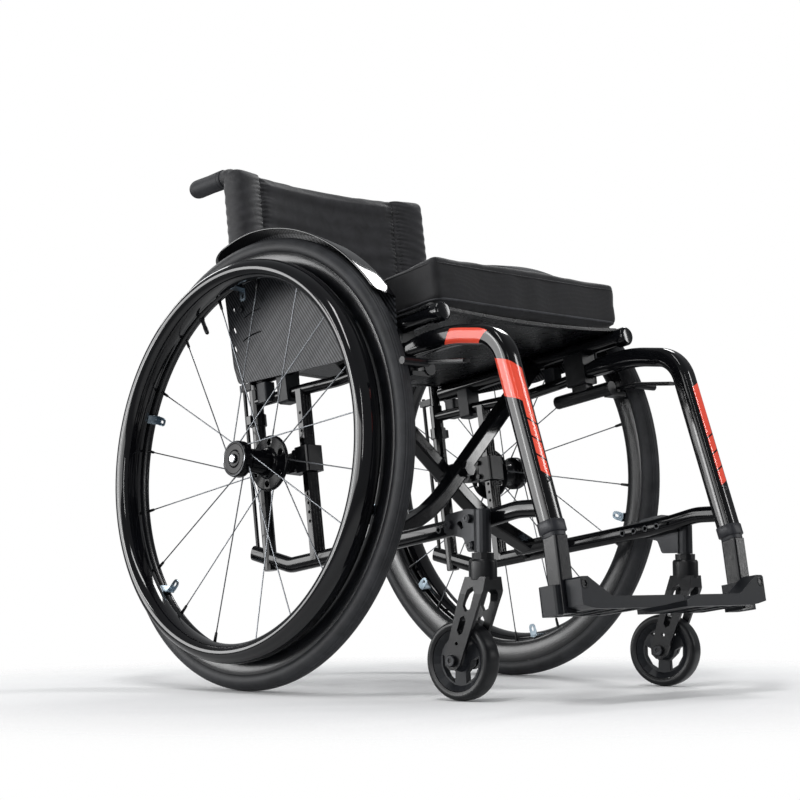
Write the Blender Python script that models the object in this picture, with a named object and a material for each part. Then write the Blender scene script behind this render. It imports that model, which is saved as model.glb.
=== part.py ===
"""A folding active wheelchair with a cross-braced frame, as separate solids.

Metres, Z up. The chair faces -Y, and its own right side is at -X. The origin is on the floor
at the middle of the chair's outline. Nearly everything on the two side frames is drawn in
"frame" axes: level, square to the backrest and centred on the rear axle, then tipped back
by FRAME_LEAN about the axle. There, a point is given as (x, forward, up).
"""

import bmesh
import bpy
from math import asin, atan2, copysign, cos, pi, radians, sin, sqrt, tan
from mathutils import Euler, Matrix, Vector

GAP = 0.0003                 # seating gap between pieces that touch

# Rear wheels
WHEEL_R = 0.295              # over the tyre, a 24 inch wheel
TYRE_R = 0.0125              # tyre section
CAMBER = radians(3.5)        # wheel tops lean in
WHEEL_X = 0.229              # wheel plane at the axle, from the chair's middle
RIM_BELOW_TREAD = 0.0200     # from the tyre's top down to the rim's outer face
RIM_DEEP = 0.0303            # from there in to the rim's nose
RIM_HALF_W = 0.0108
PUSH_BELOW_RIM = 0.0261      # from the rim's outer face in to the middle of the handrim
PUSH_OFFSET = 0.0293         # handrim outboard of the wheel plane
PUSH_HALF_W = 0.0186
PUSH_HALF_H = 0.0127
PUSH_TABS = 6
RING_STEPS = 32
SPOKES = 18
SPOKE_R = 0.0011
NIPPLE_R = 0.0021
NIPPLE_L = 0.013
HUB_FACE = 0.037             # cap face outboard of the wheel plane
HUB_END = -0.0320            # inner face of the hub
HUB_BARREL_R = 0.018
INNER_FLANGE = -0.0228
INNER_FLANGE_R = 0.037
HUB_HOLES_AT = 0.0275        # holes in the large flange
HUB_HOLE_R = 0.0045
HUB_HOLES = 6
OUTER_FLANGE = 0.028
OUTER_FLANGE_R = 0.0238
AXLE_R = 0.0062
AXLE_INNER_END = 0.149       # x of the pin's inboard tip
BUTTON_R = 0.0058
BUTTON_TRAVEL = 0.0035
VALVE_ANGLE = radians(123.7)

# Frame
FRAME_LEAN = radians(8.0)    # whole frame tipped back on its wheels
FRAME_X = 0.1705             # middle of each side frame
LEG_X = 0.1665               # front legs stand 4 mm further in
POST_F = -0.0605             # rear post, forward of the axle
POST_R = 0.0090
POST_TOP = 0.112
BACK_TUBE_R = 0.0073
BACK_TUBE_LOW = 0.064
BACK_TUBE_TOP = 0.4225
BACK_BEND_R = 0.022
GRIP_RISE = radians(4)       # against the frame, so the grips droop 4 degrees on the floor
GRIP_R = 0.0135
GRIP_L = 0.0740
GRIP_WELL = 0.0640           # depth of the grip's socket
GRIP_START = 0.0256          # behind the tube's upright part
RING_UP = 0.070              # clamp ring on the rear post
UPPER_UP = 0.0955            # upper tube where it leaves the rear post
UPPER_R = 0.0075
LEG_HALF_W = 0.0130
LEG_HALF_D = 0.0125
LEG_TOP_F = 0.3978
LEG_TOP_UP = 0.0765
LEG_FOOT_F = 0.4412
LEG_FOOT_UP = -0.1655
COLLAR_H = 0.012
COLLAR_WALL = 0.0014
LOWER_UP = -0.1342           # lower tube
LOWER_HALF_W = 0.0070
LOWER_HALF_H = 0.0102
AXLE_TUBE_F = 0.038
AXLE_TUBE_W = 0.018
AXLE_TUBE_D = 0.012
AXLE_TUBE_HOLE_R = 0.0024
AXLE_TUBE_PITCH = 0.012
STAY_F = -0.0845
STAY_R = 0.0026
STAY_TOP = 0.1278
STAY_LOW = -0.1085

# Seat and cross brace
RAIL_X = 0.1727
RAIL_UP = 0.1275
RAIL_R = 0.011
RAIL_REAR = -0.047
RAIL_FRONT = 0.3153
HINGE_X = 0.150              # brace foot, on the lower tube
HINGE_UP = -0.127
HINGE_PIN_R = 0.0048
BARREL_R = 0.0100
BARREL_REAR = 0.1003
BARREL_FRONT = 0.1577
PIVOT_UP = -0.0313           # where the two braces cross
BRACE_A_F = 0.1440
BRACE_B_F = 0.1145
BRACE_HALF_D = 0.0100
BRACE_HALF_H = 0.0120
BRACE_BEND_X = 0.057
BRACE_FOOT_SLOPE = radians(25.0)
BRACE_BEND_R = 0.25
PIVOT_BOLT_R = 0.0050
CUSHION_HALF_W = 0.180
CUSHION_LOW = 0.1416
CUSHION_TOP = 0.1994
CUSHION_REAR = -0.048
CUSHION_FRONT = 0.311
SLING_THICK = 0.0024
SLING_SAG = 0.007

# Back upholstery
BACK_LOW = 0.182
BACK_HIGH = 0.4280
BACK_SAG = 0.015             # how far the middle lies behind the sides, at the top
BACK_SAG_LOW = 0.026
BACK_THICK = 0.0090
BACK_SEAM_X = 0.1280
SLEEVE_HALF_W = 0.0128       # the wrap round a back tube
SLEEVE_HALF_D = 0.0195
SLEEVE_BACK = 0.0068         # the wrap's middle, behind the tube's
HOOD_R = 0.0125
HOOD_END = 0.0250            # behind the tube's upright part

# Brakes
BRAKE_X = 0.1930             # the lever's standing pin
BRAKE_F = 0.2700
BRAKE_UP = 0.0640
BRAKE_PIN_R = 0.0030
BRAKE_HOUSING_R = 0.0090
BRAKE_LEVER_L = 0.092
BRAKE_SHOE_R = 0.0048
BRAKE_SHOE_CLEAR = 0.0052    # off the tyre with the brake open
BRAKE_SHOE_X = 0.2360

# Footrests
FOOT_TUBE_HALF = 0.0110
FOOT_TUBE_F = 0.4427
FOOT_TUBE_LOW = -0.2586
FOOT_PIN_X = 0.1645
FOOT_PIN_UP = -0.2280
FOOT_PIN_R = 0.0040
FOOT_HEAD_R = 0.0060
FOOT_FRONT = 0.4768
FOOT_REAR = 0.4000
FOOT_TOP = -0.2425
FOOT_LOW = -0.2565
FOOT_SKIN = 0.0035

# Casters
STEM_X = 0.1885
STEM_Y = -0.3699
TRAIL = 0.0312
CASTER_R = 0.0466
CASTER_W = 0.0255
CASTER_YAW = {-1: radians(5.95), 1: radians(13.85)}
CASTER_CORE_R = 0.0362
FORK_HEAD_R = 0.0160
FORK_GAP = 0.0145            # half the space between the legs
FORK_HALF_W = 0.0197
FORK_TOP = 0.1630
STEM_R = 0.0060
HOUSING_LOW = 0.1710
HOUSING_TOP = 0.2215
HOUSING_R = 0.0100
CASTER_BOLT_R = 0.0040

# Side guards
GUARD_X = 0.1862
GUARD_THICK = 0.0022
GUARD_CLEAR = 0.0135         # between the tyre and the lip over it
GUARD_LIP_X = 0.2235
GUARD_BACK = radians(25)     # arc behind and in front of the axle's vertical
GUARD_FRONT = radians(48)

# Worked out from the sizes above
RIM_BED_R = WHEEL_R - RIM_BELOW_TREAD
RIM_INNER_R = RIM_BED_R - RIM_DEEP
PUSH_R = RIM_BED_R - PUSH_BELOW_RIM
BRAKE_SHOE_F = sqrt(WHEEL_R ** 2 - BRAKE_UP ** 2) + BRAKE_SHOE_CLEAR + BRAKE_SHOE_R
GUARD_R = WHEEL_R + GUARD_CLEAR
AXLE_Z = (WHEEL_R - TYRE_R) * cos(CAMBER) + TYRE_R
CRADLE_TOP = RAIL_UP - 0.5 * RAIL_R      # open top of the two saddles under a seat rail
BACKWARDS = Vector((0, cos(GRIP_RISE), sin(GRIP_RISE)))
FRONT_REACH = FOOT_FRONT * cos(FRAME_LEAN) - FOOT_LOW * sin(FRAME_LEAN)
AXLE_Y = (FRONT_REACH - WHEEL_R) / 2

SIDES = {-1: "right", 1: "left"}


# Materials

def linear(code):
    """Linear colour of an sRGB hex code."""
    channels = [int(code[i:i + 2], 16) / 255 for i in (0, 2, 4)]
    return [c / 12.92 if c <= 0.04045 else ((c + 0.055) / 1.055) ** 2.4 for c in channels] + [1.0]


def material(name, code, roughness, metallic=0.0):
    made = bpy.data.materials.new(name)
    made.use_nodes = True
    shader = made.node_tree.nodes["Principled BSDF"]
    shader.inputs["Base Color"].default_value = linear(code)
    shader.inputs["Roughness"].default_value = roughness
    shader.inputs["Metallic"].default_value = metallic
    made.diffuse_color = linear(code)
    return made


# Axes: one empty for each body that moves

AXES = {}


def axes(name, parent=None, location=(0, 0, 0), turn=(0, 0, 0), drawn_in=None):
    """An empty at a joint, given in the axes drawn_in and parented to the body it turns on."""
    empty = bpy.data.objects.new(name, None)
    empty.empty_display_size = 0.03
    bpy.context.scene.collection.objects.link(empty)
    here = Matrix.LocRotScale(Vector(location), Euler(turn), None)
    base = AXES[drawn_in or parent][1] if parent else Matrix()
    whole = base @ here
    if parent:
        empty.parent = AXES[parent][0]
        empty.matrix_local = AXES[parent][1].inverted() @ whole
    else:
        empty.matrix_local = here
    AXES[name] = (empty, whole)


def moved(shape, drawn_in, wanted):
    """Redraw a shape from one set of axes in another."""
    bmesh.ops.transform(shape, matrix=AXES[wanted][1].inverted() @ AXES[drawn_in][1],
                        verts=shape.verts)
    return shape


def node(name, shape, made_of, owner, drawn_in=None, sharp=40):
    """Turn a finished shape into the named object of one body."""
    moved(shape, drawn_in or owner, owner)
    bmesh.ops.remove_doubles(shape, verts=shape.verts, dist=0.000004)
    bmesh.ops.dissolve_degenerate(shape, edges=shape.edges, dist=0.000004)
    bmesh.ops.recalc_face_normals(shape, faces=shape.faces)
    mesh = bpy.data.meshes.new(name)
    shape.to_mesh(mesh)
    shape.free()
    mesh.shade_smooth()
    mesh.set_sharp_from_angle(angle=radians(sharp))
    mesh.materials.append(made_of)
    item = bpy.data.objects.new(name, mesh)
    bpy.context.scene.collection.objects.link(item)
    item.parent = AXES[owner][0]
    return item


# Shapes

def point(x, forward, up):
    """A point of the frame axes, whose Y runs backwards."""
    return Vector((x, -forward, up))


def ringed(rings, close=False):
    """A solid through rings of points, capped at both ends unless it closes on itself."""
    shape = bmesh.new()
    loops = [[shape.verts.new(p) for p in ring] for ring in rings]
    count = len(loops[0])
    pairs = list(zip(loops, loops[1:]))
    if close:
        pairs.append((loops[-1], loops[0]))
    for one, two in pairs:
        for i in range(count):
            j = (i + 1) % count
            shape.faces.new((one[i], one[j], two[j], two[i]))
    if not close:
        shape.faces.new(loops[0][::-1])
        shape.faces.new(loops[-1])
    bmesh.ops.recalc_face_normals(shape, faces=shape.faces)
    return shape


def turned(profile, steps, start=-pi / 2):
    """Revolve a (along, radius) profile about X. It closes on itself, or ends on the axis."""
    shape = bmesh.new()
    first = [shape.verts.new((a, r * cos(start), r * sin(start))) for a, r in profile]
    edges = [shape.edges.new(pair) for pair in zip(first, first[1:])]
    if profile[0][1] > 0 or profile[-1][1] > 0:
        edges.append(shape.edges.new((first[-1], first[0])))
    bmesh.ops.spin(shape, geom=first + edges, axis=(1, 0, 0), cent=(0, 0, 0),
                   steps=steps, angle=2 * pi, use_merge=False)
    bmesh.ops.remove_doubles(shape, verts=shape.verts, dist=0.000004)
    bmesh.ops.recalc_face_normals(shape, faces=shape.faces)
    return shape


def extruded(outline, low, high, along):
    """A prism: an outline in the plane square to X, Y or Z, from low to high along it."""
    def place(a, b, c):
        return {"x": (c, a, b), "y": (a, c, b), "z": (a, b, c)}[along]
    return ringed([[place(a, b, c) for a, b in outline] for c in (low, high)])


def rounded(corners, steps=3):
    """An outline whose corners (a, b, radius) are arcs."""
    points = []
    count = len(corners)
    for i, (a, b, radius) in enumerate(corners):
        here = Vector((a, b))
        before = (Vector(corners[i - 1][:2]) - here).normalized()
        after = (Vector(corners[(i + 1) % count][:2]) - here).normalized()
        if radius == 0:
            points.append((a, b))
            continue
        half = before.angle(after) / 2
        centre = here + (before + after).normalized() * radius / sin(half)
        begin = here + before * radius / tan(half) - centre
        end = here + after * radius / tan(half) - centre
        swing = atan2(begin.x * end.y - begin.y * end.x, begin.dot(end))
        for k in range(steps + 1):
            spoke = Matrix.Rotation(swing * k / steps, 2) @ begin
            points.append(tuple(centre + spoke))
    return points


def route(corners, steps=4):
    """Points along straight runs joined by arcs; a corner is (point, bend radius)."""
    points = [Vector(corners[0][0])]
    for (before, _), (here, radius), (after, _) in zip(corners, corners[1:], corners[2:]):
        here = Vector(here)
        back = (Vector(before) - here).normalized()
        ahead = (Vector(after) - here).normalized()
        if radius == 0:
            points.append(here)
            continue
        half = back.angle(ahead) / 2
        centre = here + (back + ahead).normalized() * radius / sin(half)
        begin = here + back * radius / tan(half) - centre
        end = here + ahead * radius / tan(half) - centre
        turn = begin.rotation_difference(end)
        for k in range(steps + 1):
            part = turn.copy()
            part.angle = turn.angle * k / steps
            points.append(centre + part @ begin)
    points.append(Vector(corners[-1][0]))
    return points


def swept(path, sections, across):
    """Carry a section along a path. across is the sections' fixed sideways direction."""
    across = Vector(across)
    rings = []
    for i, here in enumerate(path):
        ahead = (path[min(i + 1, len(path) - 1)] - here).normalized()
        back = (here - path[max(i - 1, 0)]).normalized()
        along = (ahead + back).normalized()
        stretch = 1.0 if 0 in (ahead.length, back.length) else 1 / max(cos(ahead.angle(back) / 2), 0.5)
        up = across.cross(along).normalized() * stretch
        section = sections[i] if isinstance(sections[0][0], (tuple, list)) else sections
        rings.append([here + across * a + up * b for a, b in section])
    return ringed(rings)


def oval(half_a, half_b, power=2.0, count=12):
    """A superellipse: power 2 is an ellipse, 4 a rounded rectangle."""
    points = []
    for i in range(count):
        t = 2 * pi * (i + 0.5) / count
        c, s = cos(t), sin(t)
        points.append((copysign(half_a * abs(c) ** (2 / power), c),
                       copysign(half_b * abs(s) ** (2 / power), s)))
    return points


def capsule(a1, b1, a2, b2, radius, steps=4):
    """A slot's outline round two centres."""
    turn = atan2(b2 - b1, a2 - a1)
    points = []
    for centre, start in (((a2, b2), turn - pi / 2), ((a1, b1), turn + pi / 2)):
        for k in range(steps + 1):
            angle = start + pi * k / steps
            points.append((centre[0] + radius * cos(angle), centre[1] + radius * sin(angle)))
    return points


def circle(a, b, radius, count=12, start=0.0):
    return [(a + radius * cos(start + 2 * pi * i / count),
             b + radius * sin(start + 2 * pi * i / count)) for i in range(count)]


def box(x0, x1, y0, y1, z0, z1):
    return extruded([(x0, y0), (x1, y0), (x1, y1), (x0, y1)], z0, z1, "z")


def combined(operation, base, tools):
    """Boolean of a shape with others, with the exact solver."""
    holders = []
    for shape in (base, *tools):
        mesh = bpy.data.meshes.new("operand")
        shape.to_mesh(mesh)
        shape.free()
        holder = bpy.data.objects.new("operand", mesh)
        bpy.context.scene.collection.objects.link(holder)
        holders.append(holder)
    for tool in holders[1:]:
        step = holders[0].modifiers.new("step", "BOOLEAN")
        step.operation = operation
        step.solver = "EXACT"
        step.object = tool
    result = bmesh.new()
    result.from_object(holders[0], bpy.context.evaluated_depsgraph_get())
    for holder in holders:
        mesh = holder.data
        bpy.data.objects.remove(holder)
        bpy.data.meshes.remove(mesh)
    bmesh.ops.remove_doubles(result, verts=result.verts, dist=0.000004)
    bmesh.ops.dissolve_limit(result, angle_limit=radians(0.3), verts=result.verts,
                             edges=result.edges)
    return result


def joined(base, *tools):
    return combined("UNION", base, tools)


def cut(base, *tools):
    return combined("DIFFERENCE", base, tools)


def shared(base, *tools):
    return combined("INTERSECT", base, tools)


def gathered(shapes):
    """Several separate shapes as one, to be used as one tool."""
    whole = bmesh.new()
    for shape in shapes:
        mesh = bpy.data.meshes.new("part")
        shape.to_mesh(mesh)
        shape.free()
        whole.from_mesh(mesh)
        bpy.data.meshes.remove(mesh)
    return whole


# Rear wheels, drawn in axes whose X is the hub's own axis; outboard is side * X

def tyre(side):
    centre = WHEEL_R - TYRE_R
    bed = asin((RIM_BED_R + GAP - centre) / TYRE_R)
    steps = 6
    angles = [bed + (pi - 2 * bed) * k / steps for k in range(steps + 1)]
    return turned([(TYRE_R * cos(a), centre + TYRE_R * sin(a)) for a in angles], RING_STEPS)


def rim(side):
    """A deep aero rim with the valve standing in from it."""
    deep = RIM_BED_R - RIM_INNER_R
    half = [(RIM_HALF_W * 0.94, RIM_BED_R), (RIM_HALF_W, RIM_BED_R - 0.25 * deep),
            (RIM_HALF_W * 0.72, RIM_BED_R - 0.80 * deep)]
    profile = half + [(0, RIM_INNER_R)] + [(-a, r) for a, r in half[::-1]]
    body = turned(profile, RING_STEPS)
    valve_top = RIM_INNER_R + 0.004
    valve = turned([(RIM_INNER_R - 0.026, 0), (RIM_INNER_R - 0.026, 0.0028), (valve_top, 0.0036),
                    (valve_top, 0)], 8)
    outward = Vector((0, -cos(VALVE_ANGLE), sin(VALVE_ANGLE)))
    bmesh.ops.transform(valve, matrix=Vector((1, 0, 0)).rotation_difference(outward).to_matrix().to_4x4(),
                        verts=valve.verts)
    return joined(body, valve)


def handrim(side):
    """A wide oval ring with six tabs that reach in under the rim."""
    section = [(side * PUSH_OFFSET + a, PUSH_R + b) for a, b in oval(PUSH_HALF_W, PUSH_HALF_H, 2.0, 8)]
    body = turned(section, RING_STEPS)
    seat = RIM_INNER_R * cos(pi / RING_STEPS) - GAP
    tabs = []
    for k in range(PUSH_TABS):
        angle = radians(43) + 2 * pi * k / PUSH_TABS
        arm = box(*sorted((side * -0.006, side * PUSH_OFFSET)), -0.006, 0.006, seat - 0.0026, seat)
        bmesh.ops.rotate(arm, cent=(0, 0, 0), matrix=Matrix.Rotation(angle - pi / 2, 3, "X").inverted(),
                         verts=arm.verts)
        tabs.append(arm)
    return joined(body, gathered(tabs))


def spoke(side, k):
    """One spoke from its flange to the rim; outer and inner flange take turns."""
    at_rim = radians(13.6) + 2 * pi * k / SPOKES
    outer = k % 2 == 0
    at_hub = at_rim + (radians(50) if outer else radians(13))
    along = OUTER_FLANGE if outer else INNER_FLANGE
    radius = OUTER_FLANGE_R - 0.004 if outer else INNER_FLANGE_R - 0.004
    tip = RIM_INNER_R * cos(pi / RING_STEPS) - 2 * GAP

    def place(a, r, angle):
        return Vector((side * a, -r * cos(angle), r * sin(angle)))
    low = place(along, radius, at_hub)
    high = place(0.0, tip, at_rim)
    way = (high - low).normalized()
    collar = high - way * NIPPLE_L
    sizes = [(low, SPOKE_R), (collar, SPOKE_R * 1.2), (high, NIPPLE_R)]
    a = way.cross(Vector((1, 0, 0))).normalized()
    b = way.cross(a)
    return ringed([[p + (a * cos(t) + b * sin(t)) * r for t in (0, 2 * pi / 3, 4 * pi / 3)]
                   for p, r in sizes])


def hub(side):
    """A hub with a large pierced inner flange, a small outer one and all its spokes."""
    bore = AXLE_R + GAP
    profile = [(HUB_END, bore), (HUB_END, 0.0135), (INNER_FLANGE - 0.0055, 0.0165),
               (INNER_FLANGE - 0.0018, INNER_FLANGE_R), (INNER_FLANGE + 0.0018, INNER_FLANGE_R),
               (INNER_FLANGE + 0.0040, HUB_BARREL_R), (OUTER_FLANGE - 0.010, HUB_BARREL_R),
               (OUTER_FLANGE - 0.005, OUTER_FLANGE_R), (HUB_FACE - 0.003, OUTER_FLANGE_R),
               (HUB_FACE, OUTER_FLANGE_R - 0.003), (HUB_FACE, bore)]
    body = turned([(side * a, r) for a, r in profile], 16)
    holes = []
    for k in range(HUB_HOLES):
        angle = 2 * pi * (k + 0.5) / HUB_HOLES
        holes.append(extruded(circle(HUB_HOLES_AT * cos(angle), HUB_HOLES_AT * sin(angle), HUB_HOLE_R, 6),
                              *sorted((side * (INNER_FLANGE - 0.008), side * (INNER_FLANGE + 0.006))), "x"))
    body = cut(body, gathered(holes))
    return joined(body, gathered(spoke(side, k) for k in range(SPOKES)))


def axle(side):
    """The quick-release pin, hollow at its outer end for the button."""
    inner = (AXLE_INNER_END - WHEEL_X) / cos(CAMBER)
    end = HUB_FACE - 0.0045
    well = BUTTON_R - 0.0012
    profile = [(inner, 0), (inner, AXLE_R - 0.0018), (inner + 0.003, AXLE_R), (end, AXLE_R),
               (end, well), (end - 0.0145, well), (end - 0.0145, 0)]
    return turned([(side * a, r) for a, r in profile], 12)


def button(side):
    stem = BUTTON_R - 0.0012 - GAP
    under = HUB_FACE - 0.0045 + BUTTON_TRAVEL + GAP
    profile = [(under - 0.010, 0), (under - 0.010, stem), (under, stem), (under, BUTTON_R),
               (under + 0.0035, BUTTON_R), (under + 0.0045, BUTTON_R - 0.0014), (under + 0.0045, 0)]
    return turned([(side * a, r) for a, r in profile], 12)


# Side frame tubes. Each can be drawn a little fat, as the cutter that seats its neighbours

def front_tube_path(side):
    def place(forward, up, lean_in=0.0):
        return point(side * (FRAME_X - lean_in * (FRAME_X - LEG_X)), forward, up)
    start = POST_F + POST_R * 0.2
    return route([(place(start, UPPER_UP), 0), (place(0.045, UPPER_UP - 0.0042), 0),
                  (place(0.112, UPPER_UP - 0.0085), 0), (place(0.195, UPPER_UP - 0.0060), 0),
                  (place(0.262, UPPER_UP + 0.0010, 0.3), 0), (place(0.325, UPPER_UP - 0.0005, 0.7), 0),
                  (place(LEG_TOP_F, LEG_TOP_UP, 1.0), 0.045),
                  (place(LEG_FOOT_F, LEG_FOOT_UP, 1.0), 0)], steps=5)


def front_tube_solid(side, extra=0.0):
    """The upper tube swells into the squarer front leg and ends in a plain collar."""
    path = front_tube_path(side)
    foot = path[-1]
    way = (foot - path[-2]).normalized()
    path = path[:-1] + [foot - way * (COLLAR_H + 0.001), foot - way * COLLAR_H, foot]
    sections = []
    for i, here in enumerate(path):
        share = min(max((-here.y - 0.200) / 0.090, 0.0), 1.0)
        share = share * share * (3 - 2 * share)
        wall = COLLAR_WALL if i >= len(path) - 2 else 0.0
        half_w = UPPER_R + (LEG_HALF_W - UPPER_R) * share + wall + extra
        half_d = UPPER_R + (LEG_HALF_D - UPPER_R) * share + wall + extra
        sections.append(oval(half_w, half_d, 2.0 + 1.4 * share, 12))
    return swept(path, sections, (1, 0, 0))


def lower_tube_path(side):
    def place(forward, up, lean_in=0.0):
        return point(side * (FRAME_X - lean_in * (FRAME_X - LEG_X)), forward, up)
    return route([(place(-0.0925, -0.1055), 0), (place(-0.0185, LOWER_UP + 0.0010), 0.035),
                  (place(0.310, LOWER_UP), 0), (place(0.352, LOWER_UP + 0.0012, 0.4), 0.03),
                  (place(0.392, LOWER_UP + 0.0040, 0.8), 0.03), (place(0.436, LOWER_UP - 0.0010, 1.0), 0)],
                 steps=2)


def lower_tube_solid(side, extra=0.0):
    section = oval(LOWER_HALF_W + extra, LOWER_HALF_H + extra, 2.6, 10)
    return swept(lower_tube_path(side), section, (1, 0, 0))


def round_bar(start, end, radius, count=12):
    """A plain round bar between two points."""
    way = (end - start).normalized()
    a = way.orthogonal().normalized()
    b = way.cross(a)
    return ringed([[p + (a * cos(t) + b * sin(t)) * radius
                    for t in (2 * pi * i / count for i in range(count))] for p in (start, end)])


def front_tube(side):
    """Front tube coped against the rear post and bored for the footrest tube."""
    body = front_tube_solid(side)
    post = round_bar(point(side * FRAME_X, POST_F, 0), point(side * FRAME_X, POST_F, 0.2), POST_R + GAP, 16)
    path = front_tube_path(side)
    way = (path[-1] - path[-2]).normalized()
    bore = round_bar(path[-1] - way * 0.050, path[-1] + way * 0.01, FOOT_TUBE_HALF - 0.0025 + GAP, 12)
    return cut(body, post, bore)


def lower_tube(side):
    """Lower tube coped into the leg, with a row of caster positions drilled through it."""
    body = lower_tube_solid(side)
    holes = [extruded(circle(-(0.270 + 0.0195 * k), LOWER_UP, 0.0026, 6),
                      side * FRAME_X - 0.02, side * FRAME_X + 0.02, "x") for k in range(5)]
    return cut(body, front_tube_solid(side, GAP), gathered(holes))


def axle_tube(side):
    """The fluted upright that carries the wheel, drilled for every axle height."""
    half_w, half_d = AXLE_TUBE_W / 2, AXLE_TUBE_D / 2
    flute = 0.0012
    face = -half_d
    outline = [(-half_w, half_d), (-half_w, face + 0.002), (-half_w + 0.002, face)]
    for k in (-1, 0, 1):
        middle = k * 0.0048
        outline += [(middle - 0.0012, face), (middle, face + flute), (middle + 0.0012, face)]
    outline += [(half_w - 0.002, face), (half_w, face + 0.002), (half_w, half_d)]
    body = extruded([(side * FRAME_X + a, -AXLE_TUBE_F + b) for a, b in outline],
                    LOWER_UP, UPPER_UP - 0.004, "z")
    holes = []
    for k in range(-7, 6):
        if abs(k * AXLE_TUBE_PITCH) > 0.020:
            holes.append(extruded(circle(-AXLE_TUBE_F, k * AXLE_TUBE_PITCH, AXLE_TUBE_HOLE_R, 6),
                                  side * FRAME_X - 0.02, side * FRAME_X + 0.02, "x"))
    return cut(body, lower_tube_solid(side, GAP), front_tube_solid(side, GAP), gathered(holes))


def rear_post(side):
    """Round rear upright with its clamp ring, bored for the back tube."""
    foot = point(side * FRAME_X, POST_F, LOWER_UP)
    body = round_bar(foot, point(side * FRAME_X, POST_F, POST_TOP), POST_R, 12)
    ring = round_bar(point(side * FRAME_X, POST_F, RING_UP - 0.008),
                     point(side * FRAME_X, POST_F, RING_UP + 0.008), POST_R + 0.0024, 12)
    ears = box(*sorted((side * (FRAME_X + 0.001), side * (FRAME_X + 0.017))),
               -POST_F - 0.0045, -POST_F + 0.0045, RING_UP - 0.006, RING_UP + 0.006)
    bore = round_bar(point(side * FRAME_X, POST_F, BACK_TUBE_LOW - 2 * GAP),
                     point(side * FRAME_X, POST_F, POST_TOP + 0.01), BACK_TUBE_R + GAP, 12)
    body = joined(body, ring, ears)
    return cut(body, bore, lower_tube_solid(side, GAP))


def back_top(side):
    return point(side * FRAME_X, POST_F, BACK_TUBE_TOP)


def back_tube_solid(side, low, behind, radius):
    """A round solid along the back tube: from the height low, round the bend, to a distance
    behind the tube's upright part."""
    path = route([(point(side * FRAME_X, POST_F, low), 0), (back_top(side), BACK_BEND_R),
                  (back_top(side) + BACKWARDS * behind, 0)], steps=4)
    return swept(path, oval(radius, radius, 2.0, 10), (1, 0, 0))


def back_tube(side):
    """Back cane: up from the rear post, then bent back for the push grip."""
    return back_tube_solid(side, BACK_TUBE_LOW, GRIP_START + GRIP_WELL - 2 * GAP, BACK_TUBE_R)


def grip(side):
    """A blunt push grip over the back tube's end."""
    bore = BACK_TUBE_R + 2 * GAP
    profile = [(GRIP_WELL, 0), (GRIP_WELL, bore), (0, bore), (0, GRIP_R - 0.0008), (0.003, GRIP_R),
               (GRIP_L * 0.45, GRIP_R - 0.0006), (GRIP_L - 0.009, GRIP_R), (GRIP_L - 0.002, GRIP_R * 0.70),
               (GRIP_L, GRIP_R * 0.35), (GRIP_L, 0)]
    body = turned(profile, 12)
    turn = Vector((1, 0, 0)).rotation_difference(BACKWARDS).to_matrix().to_4x4()
    place = Matrix.Translation(back_top(side) + BACKWARDS * GRIP_START)
    bmesh.ops.transform(body, matrix=place @ turn, verts=body.verts)
    return body


def stay_rod(side):
    """Thin rod behind the post, from the lower tube's end to an eye on the back tube."""
    low = point(side * FRAME_X, STAY_F, STAY_LOW)
    rod = round_bar(low, point(side * FRAME_X, STAY_F, STAY_TOP), STAY_R, 8)
    eye = box(side * FRAME_X - 0.0045, side * FRAME_X + 0.0045, -POST_F, -STAY_F + 0.0045,
              STAY_TOP - 0.012, STAY_TOP - 0.003)
    tube = round_bar(point(side * FRAME_X, POST_F, 0.1), point(side * FRAME_X, POST_F, 0.2),
                     BACK_TUBE_R + GAP)
    return cut(joined(rod, eye), tube, lower_tube_solid(side, GAP))


def axle_mount(side):
    """Clamp on the axle tube with a cambered sleeve that the axle runs through."""
    half_w = AXLE_TUBE_W / 2
    half_d = AXLE_TUBE_D / 2
    clamp = extruded(rounded([(side * FRAME_X - half_w - 0.005, -AXLE_TUBE_F - half_d - 0.006, 0.003),
                              (side * FRAME_X + half_w + 0.005, -AXLE_TUBE_F - half_d - 0.006, 0.003),
                              (side * FRAME_X + half_w + 0.005, -AXLE_TUBE_F + half_d + 0.008, 0.003),
                              (side * FRAME_X - half_w - 0.005, -AXLE_TUBE_F + half_d + 0.008, 0.003)], 2),
                     -0.019, 0.015, "z")
    web = box(side * FRAME_X - 0.008, side * FRAME_X + 0.008,
              -AXLE_TUBE_F + half_d + 0.004, 0.002, -0.015, 0.011)
    bolts = [round_bar(point(side * FRAME_X - 0.0185, AXLE_TUBE_F - half_d - 0.004, up),
                       point(side * FRAME_X + 0.0185, AXLE_TUBE_F - half_d - 0.004, up), 0.0036, 6)
             for up in (-0.012, 0.008)]
    inner = (AXLE_INNER_END + 0.0045 - WHEEL_X) / cos(CAMBER)
    sleeve = turned([(side * inner, 0), (side * inner, 0.0118), (side * (HUB_END - 0.016), 0.0118),
                     (side * (HUB_END - 0.016), 0.0098), (side * (HUB_END - GAP), 0.0098),
                     (side * (HUB_END - GAP), 0)], 12)
    bore = turned([(side * (inner - 0.01), 0), (side * (inner - 0.01), AXLE_R + 2 * GAP),
                   (side * (HUB_END + 0.01), AXLE_R + 2 * GAP), (side * (HUB_END + 0.01), 0)], 12)
    for shape in (sleeve, bore):
        moved(shape, "wheel_" + SIDES[side], "frame")
    gate = box(side * FRAME_X - half_w - GAP, side * FRAME_X + half_w + GAP, -AXLE_TUBE_F - half_d - GAP,
               -AXLE_TUBE_F + half_d + GAP, -0.05, 0.05)
    return cut(joined(clamp, web, sleeve, *bolts), gate, bore)


# Caster bracket and caster, drawn upright

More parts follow.
